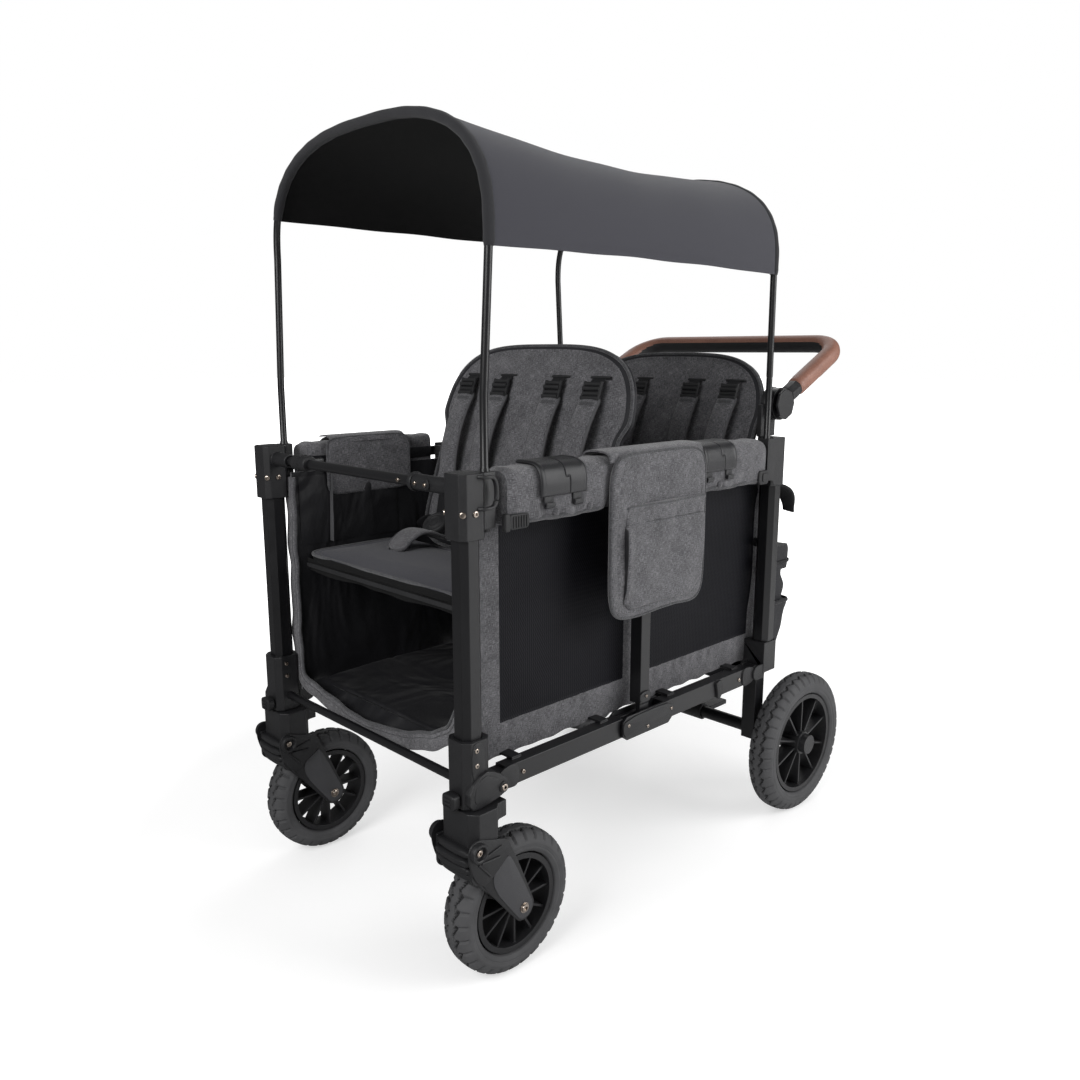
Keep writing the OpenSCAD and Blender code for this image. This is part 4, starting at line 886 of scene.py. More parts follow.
def backrest(name, body, y0, length, flare, slot):
    """Front and rear face of the cover, n = 44 in the middle of its thickness, and the piping round its front."""
    a, b, m = squircle_grid(ring_steps(200, 9), 7, 3.5)
    d = 200*(1 - m)
    h = 16 + length/2*(1 + b)
    wide = 230 + flare*step(h, 246, 286) - 4*(1 - b*b)**2
    x = wide*a
    edge, crown = 10*quarter(d, 10), 5*quarter(d, 150)**2
    seam = 2.2*bell(d - 15, 1.5)
    slots = sum(bell(x - s, 26)*bell(h - 0.88*length, 16) for s in STRAPS)
    sag = 1.6*np.sin(x/41 + 0.6)*np.sin(h/63) + 1.1*np.sin(x/23 - h/37)
    front = 44 - edge - crown + seam + 4.5*slots - sag*np.clip(d/60, 0, 1)
    back = 44 + edge*0.9
    flat = np.stack([x, h], -1)
    rim = (d < 7.5) | (abs(d - 15) < 1)
    dark = np.where(d[:-1, :-1] + d[1:, 1:] < 20, 1, 0)
    piece = Piece().grid(on_slope(y0, x, front, h), dark, flat=flat, held=rim)
    piece.grid(on_slope(y0, x, back, h), 1, flat=flat, held=d < 40)
    made = piece.object(name, body, [GREY, BAG_CLOTH], slot, [name.replace("_cover", "")], 60, 1, air=3.0, cap=5.0)
    t = 2*np.pi*np.arange(260)/260
    c, s = np.cos(t), np.sin(t)
    power = 2/np.where(s > 0, 3.5, 7)
    b = signed(s, power)
    h = 16 + (length/2 - 1.5)*(1 + b)
    x = (228.5 + flare*step(h, 246, 286) - 4*(1 - b*b)**2)*signed(c, power)
    piping = Piece().cord(0, on_slope(y0, x, 36.2, h), 300, 6.4, (0, -math.cos(LEAN), math.sin(LEAN)))
    piping.object(name + "_piping", body, [PIPING], slot, sharp=80)


STRAPS = (-162, -68, 68, 162)
backrest("front_backrest_cover", "centre", FRONT_SEAT, FRONT_BACK, 16, "grey_cloth")
backrest("rear_backrest_cover", "rear_frame", REAR_SEAT, REAR_BACK, 6, "grey_cloth")

# %% [markdown]
# ## Harness
# Four shoulder straps come out of slots in each backrest. A black ladder adjuster hangs right under the slot,
# and below it the webbing runs through a piped grey pad that bows away from the backrest. The pad is a
# rounded section swept along the bow, with its edge cord as a second sweep.

# %% Shoulder pads, adjusters and slots
def strap_path(length, stand, count=60):
    """Distance n and height h along a pad: it leaves the backrest at the top and bows out by stand mm."""
    t = np.linspace(0, 1, count)
    h = (0.79 - 0.47*t)*length
    n = 17 - stand*np.sin(np.pi*np.clip(t*1.08, 0, 1))**0.8 - 3*t
    return n, h


def harness(name, body, y0, length, slot):
    """Pads with edge cords, webbing, ladder adjusters and slot welts for the four straps of a backrest."""
    pads, webs, hard = Piece(), Piece(), Piece()
    for k, x in enumerate(STRAPS):
        lean = 5*np.sign(x)*(-1)**(abs(x) > 100)
        n, h = strap_path(length, 13 + 2*(k % 2))
        path = on_slope(y0, x + lean*np.linspace(0, 1, 60)**2, n, h)
        taper = 0.55 + 0.45*quarter(np.minimum(np.arange(60), 59 - np.arange(60)), 4)
        pads.tube(0, path, oval(13, 43, 28, 3.2), (1, 0, 0), taper)
        for s in (-1, 1):
            edge = path + np.array([s*21, 0, 0])*taper[:, None]
            pads.tube(2, edge, oval(6.2, 6.2, 10), (1, 0, 0))
        for t in (0.09, 0.92):
            i = int(60*t)
            pads.tube(1, path[i - 1:i + 2], oval(14.4, 40, 24, 3.4), (1, 0, 0))
        top = np.linspace(0.875, 0.755, 16)*length
        out = 24 - 11*np.sin(np.linspace(0, 2.6, 16))
        webs.tube(0, on_slope(y0, x, out, top), oval(2.4, 30, 16, 4), (1, 0, 0))
        low = np.linspace(0.34, 0.10, 20)*length
        out = 12 + 12*np.linspace(0, 1, 20)**2
        webs.tube(0, on_slope(y0, x + lean, out, low), oval(2.4, 28, 16, 4), (1, 0, 0))
        for j in range(4):
            bar = np.linspace(-19, 19, 9)
            up = (0.845 - 0.021*j)*length
            hard.tube(0, on_slope(y0, x + bar, 13.5 - 3.0*(j % 2), up), oval(7.0, 7.4, 12, 3), (0, 0, 1))
        for s in (-1, 1):
            side = np.linspace(0.855, 0.772, 9)*length
            hard.tube(0, on_slope(y0, x + s*18.5, 13, side), oval(6.6, 4.6, 12, 3), (1, 0, 0))
        welt = np.linspace(-22, 22, 13)
        hard.tube(0, on_slope(y0, x + welt, 28.5, 0.885*length), oval(6, 5, 12), (0, 0, 1))
    pads = pads.object(name + "_pads", body, [GREY, PIPING, GREY_WEB], slot, [name], 60)
    webs.object(name + "_webbing", body, [BLACK_WEB], "black_cloth", sharp=60)
    hard.object(name + "_adjusters", body, [DARK_NYLON], "moulding", sharp=40)


harness("front_harness", "centre", FRONT_SEAT, FRONT_BACK, "grey_cloth")
harness("rear_harness", "rear_frame", REAR_SEAT, REAR_BACK, "grey_cloth")

# %% [markdown]
# ## Benches
# A bench is a hinged board with a flat cushion. The cover is grey on top and black below, the piped front
# edge waves where the filling pushes against it, and a black skirt hangs from it. Lugs and board are drawn
# again in place of the CAD node, and the cushion is swelled over the board.

# %% Two benches, buckles and crotch pads
def bench(name, y0, depth):
    """Cushion top and underside over the board, its piped edge, the board with hinge lugs, and the skirt."""
    half, centre, front = depth/2 - 4, y0 - 12 - depth/2, y0 - depth - 12
    bulge = lambda a, b: 2.0*np.sin(226*a/48 + 1)*bell(b + 1, 0.5)
    a, b, m = squircle_grid(ring_steps(200, 9), 9, 9)
    d = 200*(1 - m)
    x, y = 226*a - 3*np.sign(a)*(1 - b*b)**2*abs(a)**8, centre + half*b + bulge(a, b)
    edge, crown = 8*quarter(d, 8), 3*quarter(d, 120)**2
    top = 586.5 + edge + crown - 1.6*bell(d - 15, 1.5) + 1.2*np.sin(x/37)*np.sin(y/29)
    low = 586.5 - edge + 0.4
    flat = np.stack([x, y], -1)
    dark = np.where(d[:-1, :-1] + d[1:, 1:] < 9, 1, 0)
    piece = Piece().grid(np.stack([x, y, top], -1), dark, flat=flat, held=(d < 7.5) | (abs(d - 15) < 1))
    piece.grid(np.stack([x, y, low], -1), 1, flat=flat, held=1.0)
    # The top takes the charcoal canopy cloth, darker and bluer than the heather: partly a cloth of its own tone,
    # partly painted shade from the canopy and backrest above the bench.
    made = piece.object(name + "_cushion", name, [CANOPY_OUT, CANOPY_IN], "grey_cloth", [name], 60, 1, air=3.0,
                        cap=4.0)
    x, y = oval(449, 2*half - 3, 240, 9).T
    ring = np.stack([x, centre + y + bulge(*oval(2, 2, 240).T), 592.5 + 0*x], -1)
    Piece().cord(0, ring, 300, 5.6, (0, 0, 1)).object(name + "_piping", name, [PIPING], "grey_cloth", sharp=80)
    board = Piece()
    ys = np.linspace(front + 6, y0 - 12, 12)
    board.tube(0, np.stack([0*ys, ys, 572 + 0*ys], -1), oval(440, 7.6, 40, 14), (0, 0, 1))
    for s in (-1, 1):
        xs = np.linspace(110, 140, 6)*s
        board.tube(0, np.stack([xs, y0 + 0*xs, SEAT_Z + 0*xs], -1), oval(26, 26, 32), (0, 0, 1))
        arm = np.linspace(y0 - 16, y0 - 2, 5)
        board.tube(0, np.stack([s*125 + 0*arm, arm, 572.5 + 0*arm], -1), oval(30, 8, 24, 8), (0, 0, 1))
    board.object(name + "_board", name, [DARK_NYLON], "black_cloth", sharp=40)
    X, T = np.meshgrid(np.linspace(-220, 220, 110), np.linspace(0, 1, 14), indexing="ij")
    hang = (1 + 0.05*np.sin(X/31))*24*T
    Y = front + 7 + 2.2*np.sin(X/19 + 1.3*np.sin(X/53))*T + 4*T
    skirt = Piece().sheet(*(np.stack([X, Y + k, 584 - hang], -1) for k in (0, 1.6)))
    skirt = skirt.object(name + "_skirt", name, [CANOPY_IN], "black_cloth", sharp=60)


def bench_belts(name, y0):
    """For both seats of a bench: a crotch pad with edge cords, a round buckle on it, and waist webbing."""
    soft, hard, web = Piece(), Piece(), Piece()
    for s in (-1, 1):
        t = np.linspace(0, 1, 40)
        taper = 0.5 + 0.5*quarter(np.minimum(t, 1 - t), 0.09)
        path = np.stack([s*92 + 4*np.sin(3*t), y0 - 118 + 106*t, 603.5 + 24*np.sin(np.pi*t**0.8)**1.3 + 8*t], -1)
        soft.tube(0, path, oval(54, 9, 28, 3.2), (0, 0, 1), taper)
        for side in (-1, 1):
            edge = path + np.array([side*26, 0, 0])*taper[:, None]
            soft.tube(1, edge, oval(4.6, 4.6, 8), (0, 0, 1))
        turn = np.linspace(0, 1, 13)
        face = np.array([-0.1*s, -0.62, 0.78])/np.linalg.norm([-0.1*s, -0.62, 0.78])
        middle = np.array([s*88, y0 - 24, 634.0])
        knots = [0, 0.15, 0.3, 0.45, 0.6, 0.75, 0.9, 1]
        depth_at = np.interp(turn, knots, [0, 9, 13, 13, 11.5, 14, 12.5, 14])
        size_at = np.interp(turn, knots, [24, 25.5, 23, 19, 17, 12, 9.5, 6])
        one = np.cross(face, (1, 0, 0))
        one /= np.linalg.norm(one)
        two = np.cross(face, one)
        around = 2*np.pi*np.arange(36)/36
        disc = middle + depth_at[:, None, None]*face + size_at[:, None, None]*(
            np.cos(around)[None, :, None]*one + np.sin(around)[None, :, None]*two)
        hard.solid(disc)
        for side in (-1, 1):
            band = np.linspace(0, 1, 24)
            path = np.stack([s*88 + side*(20 + 58*band), y0 - 22 + 34*band + 9*np.sin(6*band),
                             636 - 26*band + 13*np.sin(np.pi*band)], -1)
            web.tube(0, path, oval(2.6, 30, 16, 4), (0, -0.7, 0.7))
    soft = soft.object(name + "_crotch_pads", name, [GREY, PIPING], "grey_cloth", sharp=60)
    hard.object(name + "_buckles", name, [DARK_NYLON], "moulding", sharp=40)
    web.object(name + "_waist_webbing", name, [BLACK_WEB], "black_cloth", sharp=60)


for name, y0, depth in (("front_bench", FRONT_SEAT, 211), ("rear_bench", REAR_SEAT, 246)):
    bench(name, y0, depth)
    bench_belts(name, y0)
print("seats done")

# %% [markdown]
# ## Rail pads, clips and flap
# A padded heather sleeve wraps each half of the upper rail, with a piped hem below and puckers under the
# saddle clip that grips it. Its section is a rounded rectangle whose lower edge rises towards the middle of the
# wagon. The clips are smooth black saddles with a keyed joint line down the front and two small hooks.

# %% Padded rail sleeves
PAD_IN, PAD_OUT, PAD_TOP = 238.3, 292.0, 786.0
CLIPS = (("front", -1, -222), ("rear", 1, 170))


def pad_section(low):
    """Rounded section of a sleeve in x and z, from the inner top round the outside to the inner bottom."""
    corners = np.array([(PAD_IN, PAD_TOP), (PAD_OUT, PAD_TOP), (PAD_OUT, low), (PAD_IN, low)], float)
    return soft_corners(corners, (14, 24, 15, 8), 9, 64)


def rail_pad(s, clip):
    """A sleeve from the post towards the middle; s is -1 at the front and 1 at the rear."""
    run = np.linspace(327, 52, 134)
    low = 703 + 28*step(-run, -132, -116) + 0.9*np.sin(run/19) + 0.4*np.sin(run/6.3)
    P = np.stack([np.column_stack([sec[:, 0], np.full(64, s*r), sec[:, 1]])
                  for r, sec in zip(run, map(pad_section, low))])
    x, y, z = np.moveaxis(P, -1, 0)
    deep = np.clip((PAD_TOP - z)/80, 0, 1)
    gather = pucker(y*0.8, 1.7)*deep*1.9 + 3.2*np.sin(y/13 + z/17)*deep*bell(y - clip, 60)
    pinch = 3.4*bell(abs(y - clip) - 30, 9)*bell(z - 722, 13) + 1.8*bell(y - clip, 50)*bell(z - 770, 20)
    x += step(x, 280, 290)*(gather - pinch)
    z += 1.2*pucker(y*0.7, 3.1)*step(z, 780, 786)*(abs(y - clip) > 50)
    ends = 1 - 0.10*bell(run - 327, 8)
    for part, middle in ((x, 265.0), (z, 743.0)):
        part[:] = middle + (part - middle)*ends[:, None]
    return P


for name, s, clip in CLIPS:
    sleeve = rail_pad(s, clip)
    piece = Piece().solid(sleeve)
    foot = sleeve[3:-3, :, 2].argmin(axis=1)
    hem = sleeve[3:-3][np.arange(len(foot)), foot]
    piece.tube(1, np.stack([np.full(len(hem), 290.3), hem[:, 1], hem[:, 2] + 6.5], -1), oval(5, 5, 8), (0, 0, 1))
    for y in (clip - s*62, clip + s*10):
        ball = np.linspace(0, np.pi/2, 5)[:, None]
        a = 2*np.pi*np.arange(16)/16
        piece.solid(np.stack([290.5 + 3.2*np.sin(ball) + 0*a, y + 6.5*np.cos(ball)*np.cos(a),
                              716 + 6.5*np.cos(ball)*np.sin(a)], -1))
    made = piece.mirrored().object(f"{name}_rail_sleeves", f"{name}_upper", [GREY, PIPING], "grey_cloth",
                                   [f"{name}_rail_pads"], 60)

# %% Saddle clips with hooks
def saddle(y0):
    """A bent plate over the pad: its section runs over the top and down the outside, 96 mm long."""
    spine = rounded([(243, 788.6), (262, 789.4), (280, 788.4), (293, 781), (297.4, 764), (297.2, 748),
                     (296.6, 741)], 3, closed=False)
    spine = evenly(spine, 60)
    across = np.gradient(spine, axis=0)
    across /= np.linalg.norm(across, axis=1, keepdims=True)
    normal = np.stack([-across[:, 1], across[:, 0]], -1)
    y = np.r_[-48, -47.4, -46, -44, np.linspace(-41, 41, 83), 44, 46, 47.4, 48]
    t = np.linspace(0, 1, 60)[:, None]
    soft = quarter(48 - abs(y), 3)[None, :]
    rim = 0.9*bell(abs(y) - 42.5, 2.0)[None, :]
    joint = 2 + 9*step(t, 0.70, 0.72)
    keyed = 1.4*bell(y[None, :] - joint, 0.8) + 1.2*bell(t - 0.71, 0.012)*((y > 1) & (y < 12))
    ends = quarter(0.5 - abs(t - 0.5), 0.04)
    thick = 2.6*soft*ends
    sides = []
    for rise in (thick + (rim - keyed)*ends, -thick):
        x, z = (spine[:, k:k + 1] + rise*normal[:, k:k + 1] for k in (0, 1))
        sides.append(np.stack(np.broadcast_arrays(x, y0 + y, z), -1))
    return sides


for name, _, y0 in CLIPS:
    outer, inner = saddle(y0)
    clip = Piece().grid(outer, 0).grid(inner, 0)
    for side in (-1, 1):
        bend = rounded([(294.5, 746), (294.8, 734), (294.6, 727), (297, 724), (299.6, 727), (299.3, 732)], 2,
                       closed=False)
        path = np.stack([bend[:, 0], np.full(len(bend), y0 + side*30), bend[:, 1]], -1)
        clip.tube(0, path, oval(19, 3.4, 20, 5), (1, 0, 0.2))
    clip.mirrored().object(f"{name}_saddle_clips", f"{name}_upper", [CLIP], "moulding", [f"{name}_rail_clips"], 40)


# %% Buckle tabs and the inner flap
def block(size, place, power=6.0):
    """A box with round edges: a superellipse section carried along y, smaller at both ends."""
    t = np.linspace(-1, 1, 15)
    path = np.stack([0*t, size[1]/2*t, 0*t], -1)
    section = oval(size[0], size[2], 28, power)
    return swept(path, section, (0, 0, 1), 1 - abs(t)**10*0.4) + np.asarray(place, float)


tabs = Piece()
for k in range(6):
    tabs.solid(block((3.2, 2.6, 17), (296.6, -322 + 5*k, 712)))
tabs.solid(block((7, 40, 22), (293.2, -311, 712)))
tabs.solid(block((9, 10, 26), (292.5, -333, 712)))
tabs.mirrored().object("front_buckle_tabs", "front_upper", [DARK_NYLON], "moulding", sharp=40)
tabs = Piece()
tabs.solid(block((9, 30, 26), (293.0, 312, 716)))
tabs.solid(block((5, 18, 16), (297.4, 314, 716)))
tabs.mirrored().object("rear_buckle_tabs", "rear_upper", [DARK_NYLON], "moulding", sharp=40)


def panel(t, power, half_y, half_z, y0, z0):
    """A square grid on a rounded rectangle in y and z; also the distance from its rim."""
    a, b, m = squircle_grid(t, power, power)
    return y0 + half_y*a, z0 + half_z*b, min(half_y, half_z)*(1 - m)


FLAP_Y, FLAP_Z = -203, 742


def flap_bulge(y, z):
    """How far the flap stands off: a slow wave along it, and more where it turns over the rail."""
    return 2.5*np.sin((y + 265)/41) + 3*step(z, 770, 794)


y, z, d = panel(ring_steps(52, 5), 8, 92, 52, FLAP_Y, FLAP_Z)
face = -229.2 + 1.6*quarter(d, 4) + 0.8*np.sin(y/17)*np.sin(z/13) - flap_bulge(y, z)
rear = -231.0 - flap_bulge(y, z) - 0.4*np.clip(d, 0, 1)
flap = Piece().grid(np.stack([face, y, z], -1), 0).grid(np.stack([rear, y, z], -1), 1)
y, z = (oval(181, 101, 160, 8) + (FLAP_Y, FLAP_Z)).T
flap.cord(1, np.stack([-229.6 - flap_bulge(y, z), y, z], -1), 200, 5, (1, 0, 0))
over = rounded([(-231, 784), (-233, 793), (-243, 796), (-258, 796), (-268, 794)], 2, closed=False)
over = np.stack([over[:, 0], np.full(len(over), FLAP_Y), over[:, 1]], -1)
flap.tube(0, over, oval(164, 3, 28, 8), (0.3, 0, 1))
flap = flap.object("right_inner_flap", "front_upper", [GREY, PIPING], "grey_cloth", sharp=60)
print("rail pieces done")

# %% [markdown]
# ## Side pocket
# A flap hangs over the left rail between the clips, with a piped edge and round lower corners, and on it sits
# a patch pocket with a gathered hem band along its top and an open slit at its front edge. The flap is one
# thick padded sheet; the patch is a second one that stands a few millimetres off it along the slit.

# %% Pocket flap, patch and strap over the rail
POCKET_Z = 656
LEFT, RIGHT, LOW, HIGH = -90, 116, 536, 708


def swing(y, z, fine):
    """How far the lower edge waves up and down: one long wave, and a finer one of the given height."""
    return 4.5*np.sin((y + 108)/74)*step(z, 640, 522) + fine*np.sin(y/23)*step(z, 600, 522)


y, z, d = panel(ring_steps(120, 6), 7, 121, 134, 0, POCKET_Z)
edge = 4.2*quarter(d, 5)
slack = 1.6*np.sin(y/29 + z/41) + np.sin(z/19 - y/53) + 1.5*np.sin((z - 0.6*y)/24)*bell(z - 600, 80)
front = 299.2 + edge + slack*np.clip(d/20, 0, 1) - 1.2*bell(d - 15, 1.6)
z = z + swing(y, z, 1.6)
pocket = Piece().grid(np.stack([front, y, z], -1), 0).grid(np.stack([296.6 - edge*0.9, y, z], -1), 0)
y, z = (oval(242, 268, 200, 7) + (0, POCKET_Z)).T
pocket.cord(1, np.stack([np.full(200, 300.2), y, z + swing(y, z, 1.6)], -1), 260, 6, (1, 0, 0))
over = rounded([(296, 778), (293, 789), (284, 793.5), (262, 794.5), (243, 793), (236, 786), (234, 770)], 2,
               closed=False)
over = np.stack([over[:, 0], np.full(len(over), 0.0), over[:, 1]], -1)
pocket.tube(0, over, oval(238, 4, 40, 10), (0.5, 0, 1))
Y, Z = np.meshgrid(lines_with((LEFT, -82, 110, RIGHT), 80), lines_with((LOW, 546, 678, HIGH), 70), indexing="ij")
patch_edge = np.minimum(np.minimum(Y - LEFT, RIGHT - Y), np.minimum(Z - LOW, HIGH - Z))
lift = 2.6*quarter(patch_edge, 4) + 5.0*bell(Y - LEFT, 15)*(Z < 672)*step(Z, 545, 575)
lift += 2.0*pucker(Y, 2.6)*bell(Z - 682, 9) - 2.2*bell(Z - 678, 1.6) + 2.0*bell(Z - 705, 4)
lift += 1.9*np.sin(Y/33 + Z/27) + 1.1*np.sin(Y/17 - Z/39)
lift += 2.6*step(Z, 690, HIGH)*np.sin(np.pi*np.clip((Y - LEFT)/206, 0, 1))
round_low = 26*np.maximum(0, bell(Y - RIGHT, 22) - 0.05)*bell(Z - LOW, 26) + 12*bell(Y - LEFT, 10)*bell(Z - LOW, 14)
height = Z + swing(Y, Z, 0) + round_low
outer = np.stack([304.8 + lift, Y, height], -1)
inner = np.stack([300.6 + 2.2*bell(Y - LEFT, 10)*(Z < 672), Y, height], -1)
# The top edge is painted darker as painted shade in the gap of the pocket's mouth; the line at 678 is the hem's
# stitching, and a narrow band round the rest of the rim is darker too. The black strip that closes the slit at the
# front edge is painted shade of the pocket's open inside.
stitch_and_mouth_shade = (abs(Z - 678) < 1.4) | (Z > 705.5) | (patch_edge < 2.2)
pocket.sheet(outer, inner, np.where(stitch_and_mouth_shade[:-1, :-1] & stitch_and_mouth_shade[1:, 1:], 1, 0), 2, (2, 0, 0, 0))
pocket = pocket.object("left_side_pocket", "centre", [GREY, PIPING, LINING], "grey_cloth", ["side_pocket"], 60)
print("pocket done")

# %% [markdown]
# ## Front opening, floor and linings
# The front of the tub is open: a grey zip hem runs down beside the right post, round the corner, sags across
# below the floor and comes up again beside the left post. Behind it a black apron joins the hem to the floor
# mats. The hem is a flat band swept along that line, with a finer dark band for the closed zip teeth.

# %% Hem, apron, floor mats and webbing strip
HEM_CORNERS = [(-243, 728), (-245, 560), (-245, 430), (-243, 372), (-228, 351), (-181, 341), (-98, 327), (-44, 319),
               (53, 326), (113, 340), (168, 358), (208, 382), (229, 425), (237, 500), (238, 620), (238, 728)]
line = evenly(rounded(HEM_CORNERS, 3, closed=False), 300)
run = np.arange(300)
path = np.stack([line[:, 0] + 1.2*pucker(run*2.1, 1), -362 - 2*bell(line[:, 0] + 60, 120) + 1.4*pucker(run*1.3, 2),
                 line[:, 1] + 1.2*pucker(run*1.7, 3)], -1)
width = 1 + 0.10*np.sin(run/9) + 0.06*np.sin(run/3.7)
hem = Piece().tube(0, path, oval(27, 5.4, 24, 4), (0, 1, 0), width)
inward = np.gradient(path, axis=0)
inward = np.stack([-inward[:, 2], 0*run, inward[:, 0]], -1)
inward /= np.linalg.norm(inward, axis=1, keepdims=True)
hem.tube(1, path + inward*14.5 + (0, -1.2, 0), oval(5.5, 5.5, 10), (0, 1, 0))
hem.tube(1, path + inward*6 + (0, -2.6, 0), oval(2.0, 1.4, 6), (0, 1, 0))
hem = hem.object("front_zip_hem", "rear_frame", [GREY, PIPING], "black_cloth", sharp=60)
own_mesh(hem)

cut = (line[:, 1] < 400) & (abs(line[:, 0]) < 232)
low = path[cut]
t = np.linspace(0, 1, 14)
back = np.stack([np.clip(low[:, 0], -226, 226), np.full(len(low), -322.0), np.full(len(low), 352.0)], -1)
A = back[:, None]*(1 - t)[None, :, None] + low[:, None]*t[None, :, None]
A[..., 2] -= (9*np.sin(np.pi*t))[None, :]*(1 + 0.35*np.sin(A[..., 0]/29))
A[..., 2] += 1.6*np.sin(A[..., 0]/13 + 5*t[None, :])*np.sin(np.pi*t)[None, :]
apron = Piece().sheet(A, A - (0, 0, 1.6))
apron = apron.object("front_apron", "rear_frame", [LINING], "black_cloth", sharp=60)
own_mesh(apron)


def mat(y0, y1):
    """A floor board in a quilted cover: rounded rectangle, slightly crowned between two cross seams."""
    a, b, m = squircle_grid(ring_steps(160, 8), 12, 12)
    d = 160*(1 - m)
    x, y = 232.4*a, (y0 + y1)/2 + (y1 - y0)/2*b
    edge = 4.8*quarter(d, 7)
    top = 348 + edge + 1.2*np.sin(x/47)*np.sin(y/38) + 1.5*np.clip(d/40, 0, 1) - 2.2*bell(y - (y0 + y1)/2, 2.5)
    return Piece().grid(np.stack([x, y, top], -1), 0).grid(np.stack([x, y, 348 - edge], -1), 0)


for name, body, y0, y1 in (("front_floor", "front_lower", -330, -4), ("rear_floor", "rear_lower", 4, 330)):
    made = mat(y0, y1).object(name + "_mat", body, [LINING], "black_cloth", [name], 60)

z = np.linspace(735, 606, 40)
strap = Piece().tube(0, np.stack([-231.6 + 0.5*np.sin(z/11), -291 + 0.02*(z - 606), z], -1), oval(2.4, 19, 14, 4),
                     (1, 0, 0))
strap = strap.object("wall_webbing", "rear_frame", [GREY_WEB], "black_cloth", sharp=60)
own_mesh(strap)


def wall_pad(s):
    """The padded lining inside a side wall above the bench: long upright folds between a top and a bottom hem."""
    Y, Z = np.meshgrid(np.linspace(-352, -140, 110), np.linspace(604, 728, 44), indexing="ij")
    deep = np.sin(np.pi*np.clip((Z - 604)/124, 0, 1))**0.6*np.sin(np.pi*np.clip((Y + 352)/212, 0, 1))**0.4
    fold = 1.6*np.sin(Y/11 + 2.2*np.sin(Z/47)) + 1.4*np.sin(Y/23 - Z/31) + 0.7*np.sin(Y/5.1 + Z/60)
    X = 232.6 - deep*(2.2 + np.clip(fold, -1.8, 2.0))
    return [np.stack([s*x, Y, Z], -1) for x in (X, 233.3 + 0*X)]


pads = Piece()
for s in (-1, 1):
    pads.sheet(*wall_pad(s))
pads = pads.object("wall_lining_pads", "rear_frame", [LINING], "black_cloth", sharp=60)
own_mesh(pads)
print("front opening done")

# %% [markdown]
# ## Rear bag
# A black storage bag hangs behind the rear posts: a zipped lid at the top, a ribbed body that sags, and a lower
# pocket whose rim stands out. It is lofted: at each height a rounded rectangle, flat against the posts,
# whose depth and width follow the sag, with the ribs as a small wave.

# %% Bag body, pocket, lid and webbing tabs
BAG_FRONT = 403.5


def bag_ring(half, depth, z):
    """Rounded rectangle in x and y, flat towards the posts."""
    back = BAG_FRONT + depth
    corners = np.array([(half, BAG_FRONT), (half, back), (-half, back), (-half, BAG_FRONT)], float)
    return np.column_stack([soft_corners(corners, (4, 14.4, 14.4, 4), 8, 160), np.full(160, z)])


def free_edge(ring, behind):
    """The part of a ring that lies behind a plane, in order round the bag."""
    ring = ring[ring[:, 1] > behind]
    return ring[np.argsort(np.arctan2(ring[:, 1] - 404, ring[:, 0]))]


zs = np.linspace(548, 262, 120)
half = np.interp(zs, [262, 300, 400, 470, 548], [205, 222, 236, 238, 240])
depth = np.interp(zs, [262, 300, 360, 440, 500, 548],
                  [62, 84, 99, 102, 100, 108]) + 3.2*np.sin(zs/17) + 1.6*np.sin(zs/7.3)
body = np.stack([bag_ring(h, d, z) for h, d, z in zip(half, depth, zs)])
x, y, z = np.moveaxis(body, -1, 0)
y += (2.2*np.sin(x/37 + z/29) + 1.3*np.sin(x/15 - z/41))*step(y, 415, 440)
x += 1.6*np.sign(x)*np.sin(z/9)*step(abs(x), 200, 225)*step(y, 410, 425)
bag = Piece().solid(body)
zp = np.linspace(438, 300, 60)
out = np.interp(zp, [300, 360, 420, 438], [2, 6, 9.5, 12])
half_at, depth_at = (np.interp(zp, zs[::-1], values[::-1]) for values in (half, depth))
pouch = np.stack([bag_ring(h, d, z) for h, d, z in zip(half_at + out*0.35, depth_at + out, zp)])
x, y, z = np.moveaxis(pouch, -1, 0)
y += (2.2*np.sin(x/37 + z/29) + 1.6*np.sin(x/19)*step(z, 410, 438))*step(y, 415, 440)
z += 5*np.sin(x/70 + 0.6)*step(z, 400, 438)
bag.solid(pouch)
bag.tube(1, free_edge(pouch[0], 408), oval(4.5, 8, 10), (0, 0, 1))
zl = np.linspace(555, 505, 24)
lid = np.stack([bag_ring(241.5 - 0.4*(z > 552), np.interp(z, [505, 512, 545, 555], [107, 110, 111, 108]), z)
                for z in zl])
lid[..., 2] += 2.2*np.sin(lid[..., 0]/41)*step(lid[..., 1], 420, 470)
bag.solid(lid, 1)
bag.tube(2, free_edge(bag_ring(242.5, 111.5, 520), 407), oval(3, 7, 8, 4), (0, 0, 1))
band = np.linspace(-268, 268, 30)
bag.tube(2, np.stack([band, np.full(30, 405.2), np.full(30, 522.0)], -1), oval(30, 3, 16, 5), (0, 1, 0))
bag.object("rear_storage_bag", "rear_frame", [BAG_CLOTH, CUFF, BLACK_WEB], "black_cloth", ["rear_bag"], 60)

tab = Piece()
t = np.linspace(0, 1, 30)
for s in (-1, 1):
    loop_path = np.stack([s*(262 + 6*np.sin(np.pi*t)), 409 + 54*t**0.9, 690 - 14*t - 44*t*t], -1)
    tab.tube(0, loop_path, oval(7, 34, 16, 3.5), (1, 0, 0), 0.75 + 0.35*np.sin(np.pi*np.clip(t*1.1, 0, 1)))
    tab.solid(block((12, 10, 14), (s*262, 409, 692)), 1)
tab.object("pull_tabs", "rear_frame", [BLACK_WEB, DARK_NYLON], "black_cloth", sharp=60)
print("bag done")

# %% [markdown]
# ## Push handle
# The handle's tube has a foam sleeve with a brown leather wrap on its outer and upper side; the inner,
# lower side is black. The wrap is swept along the tube's line in the handle's own tilted frame, and it
# narrows at both ends.

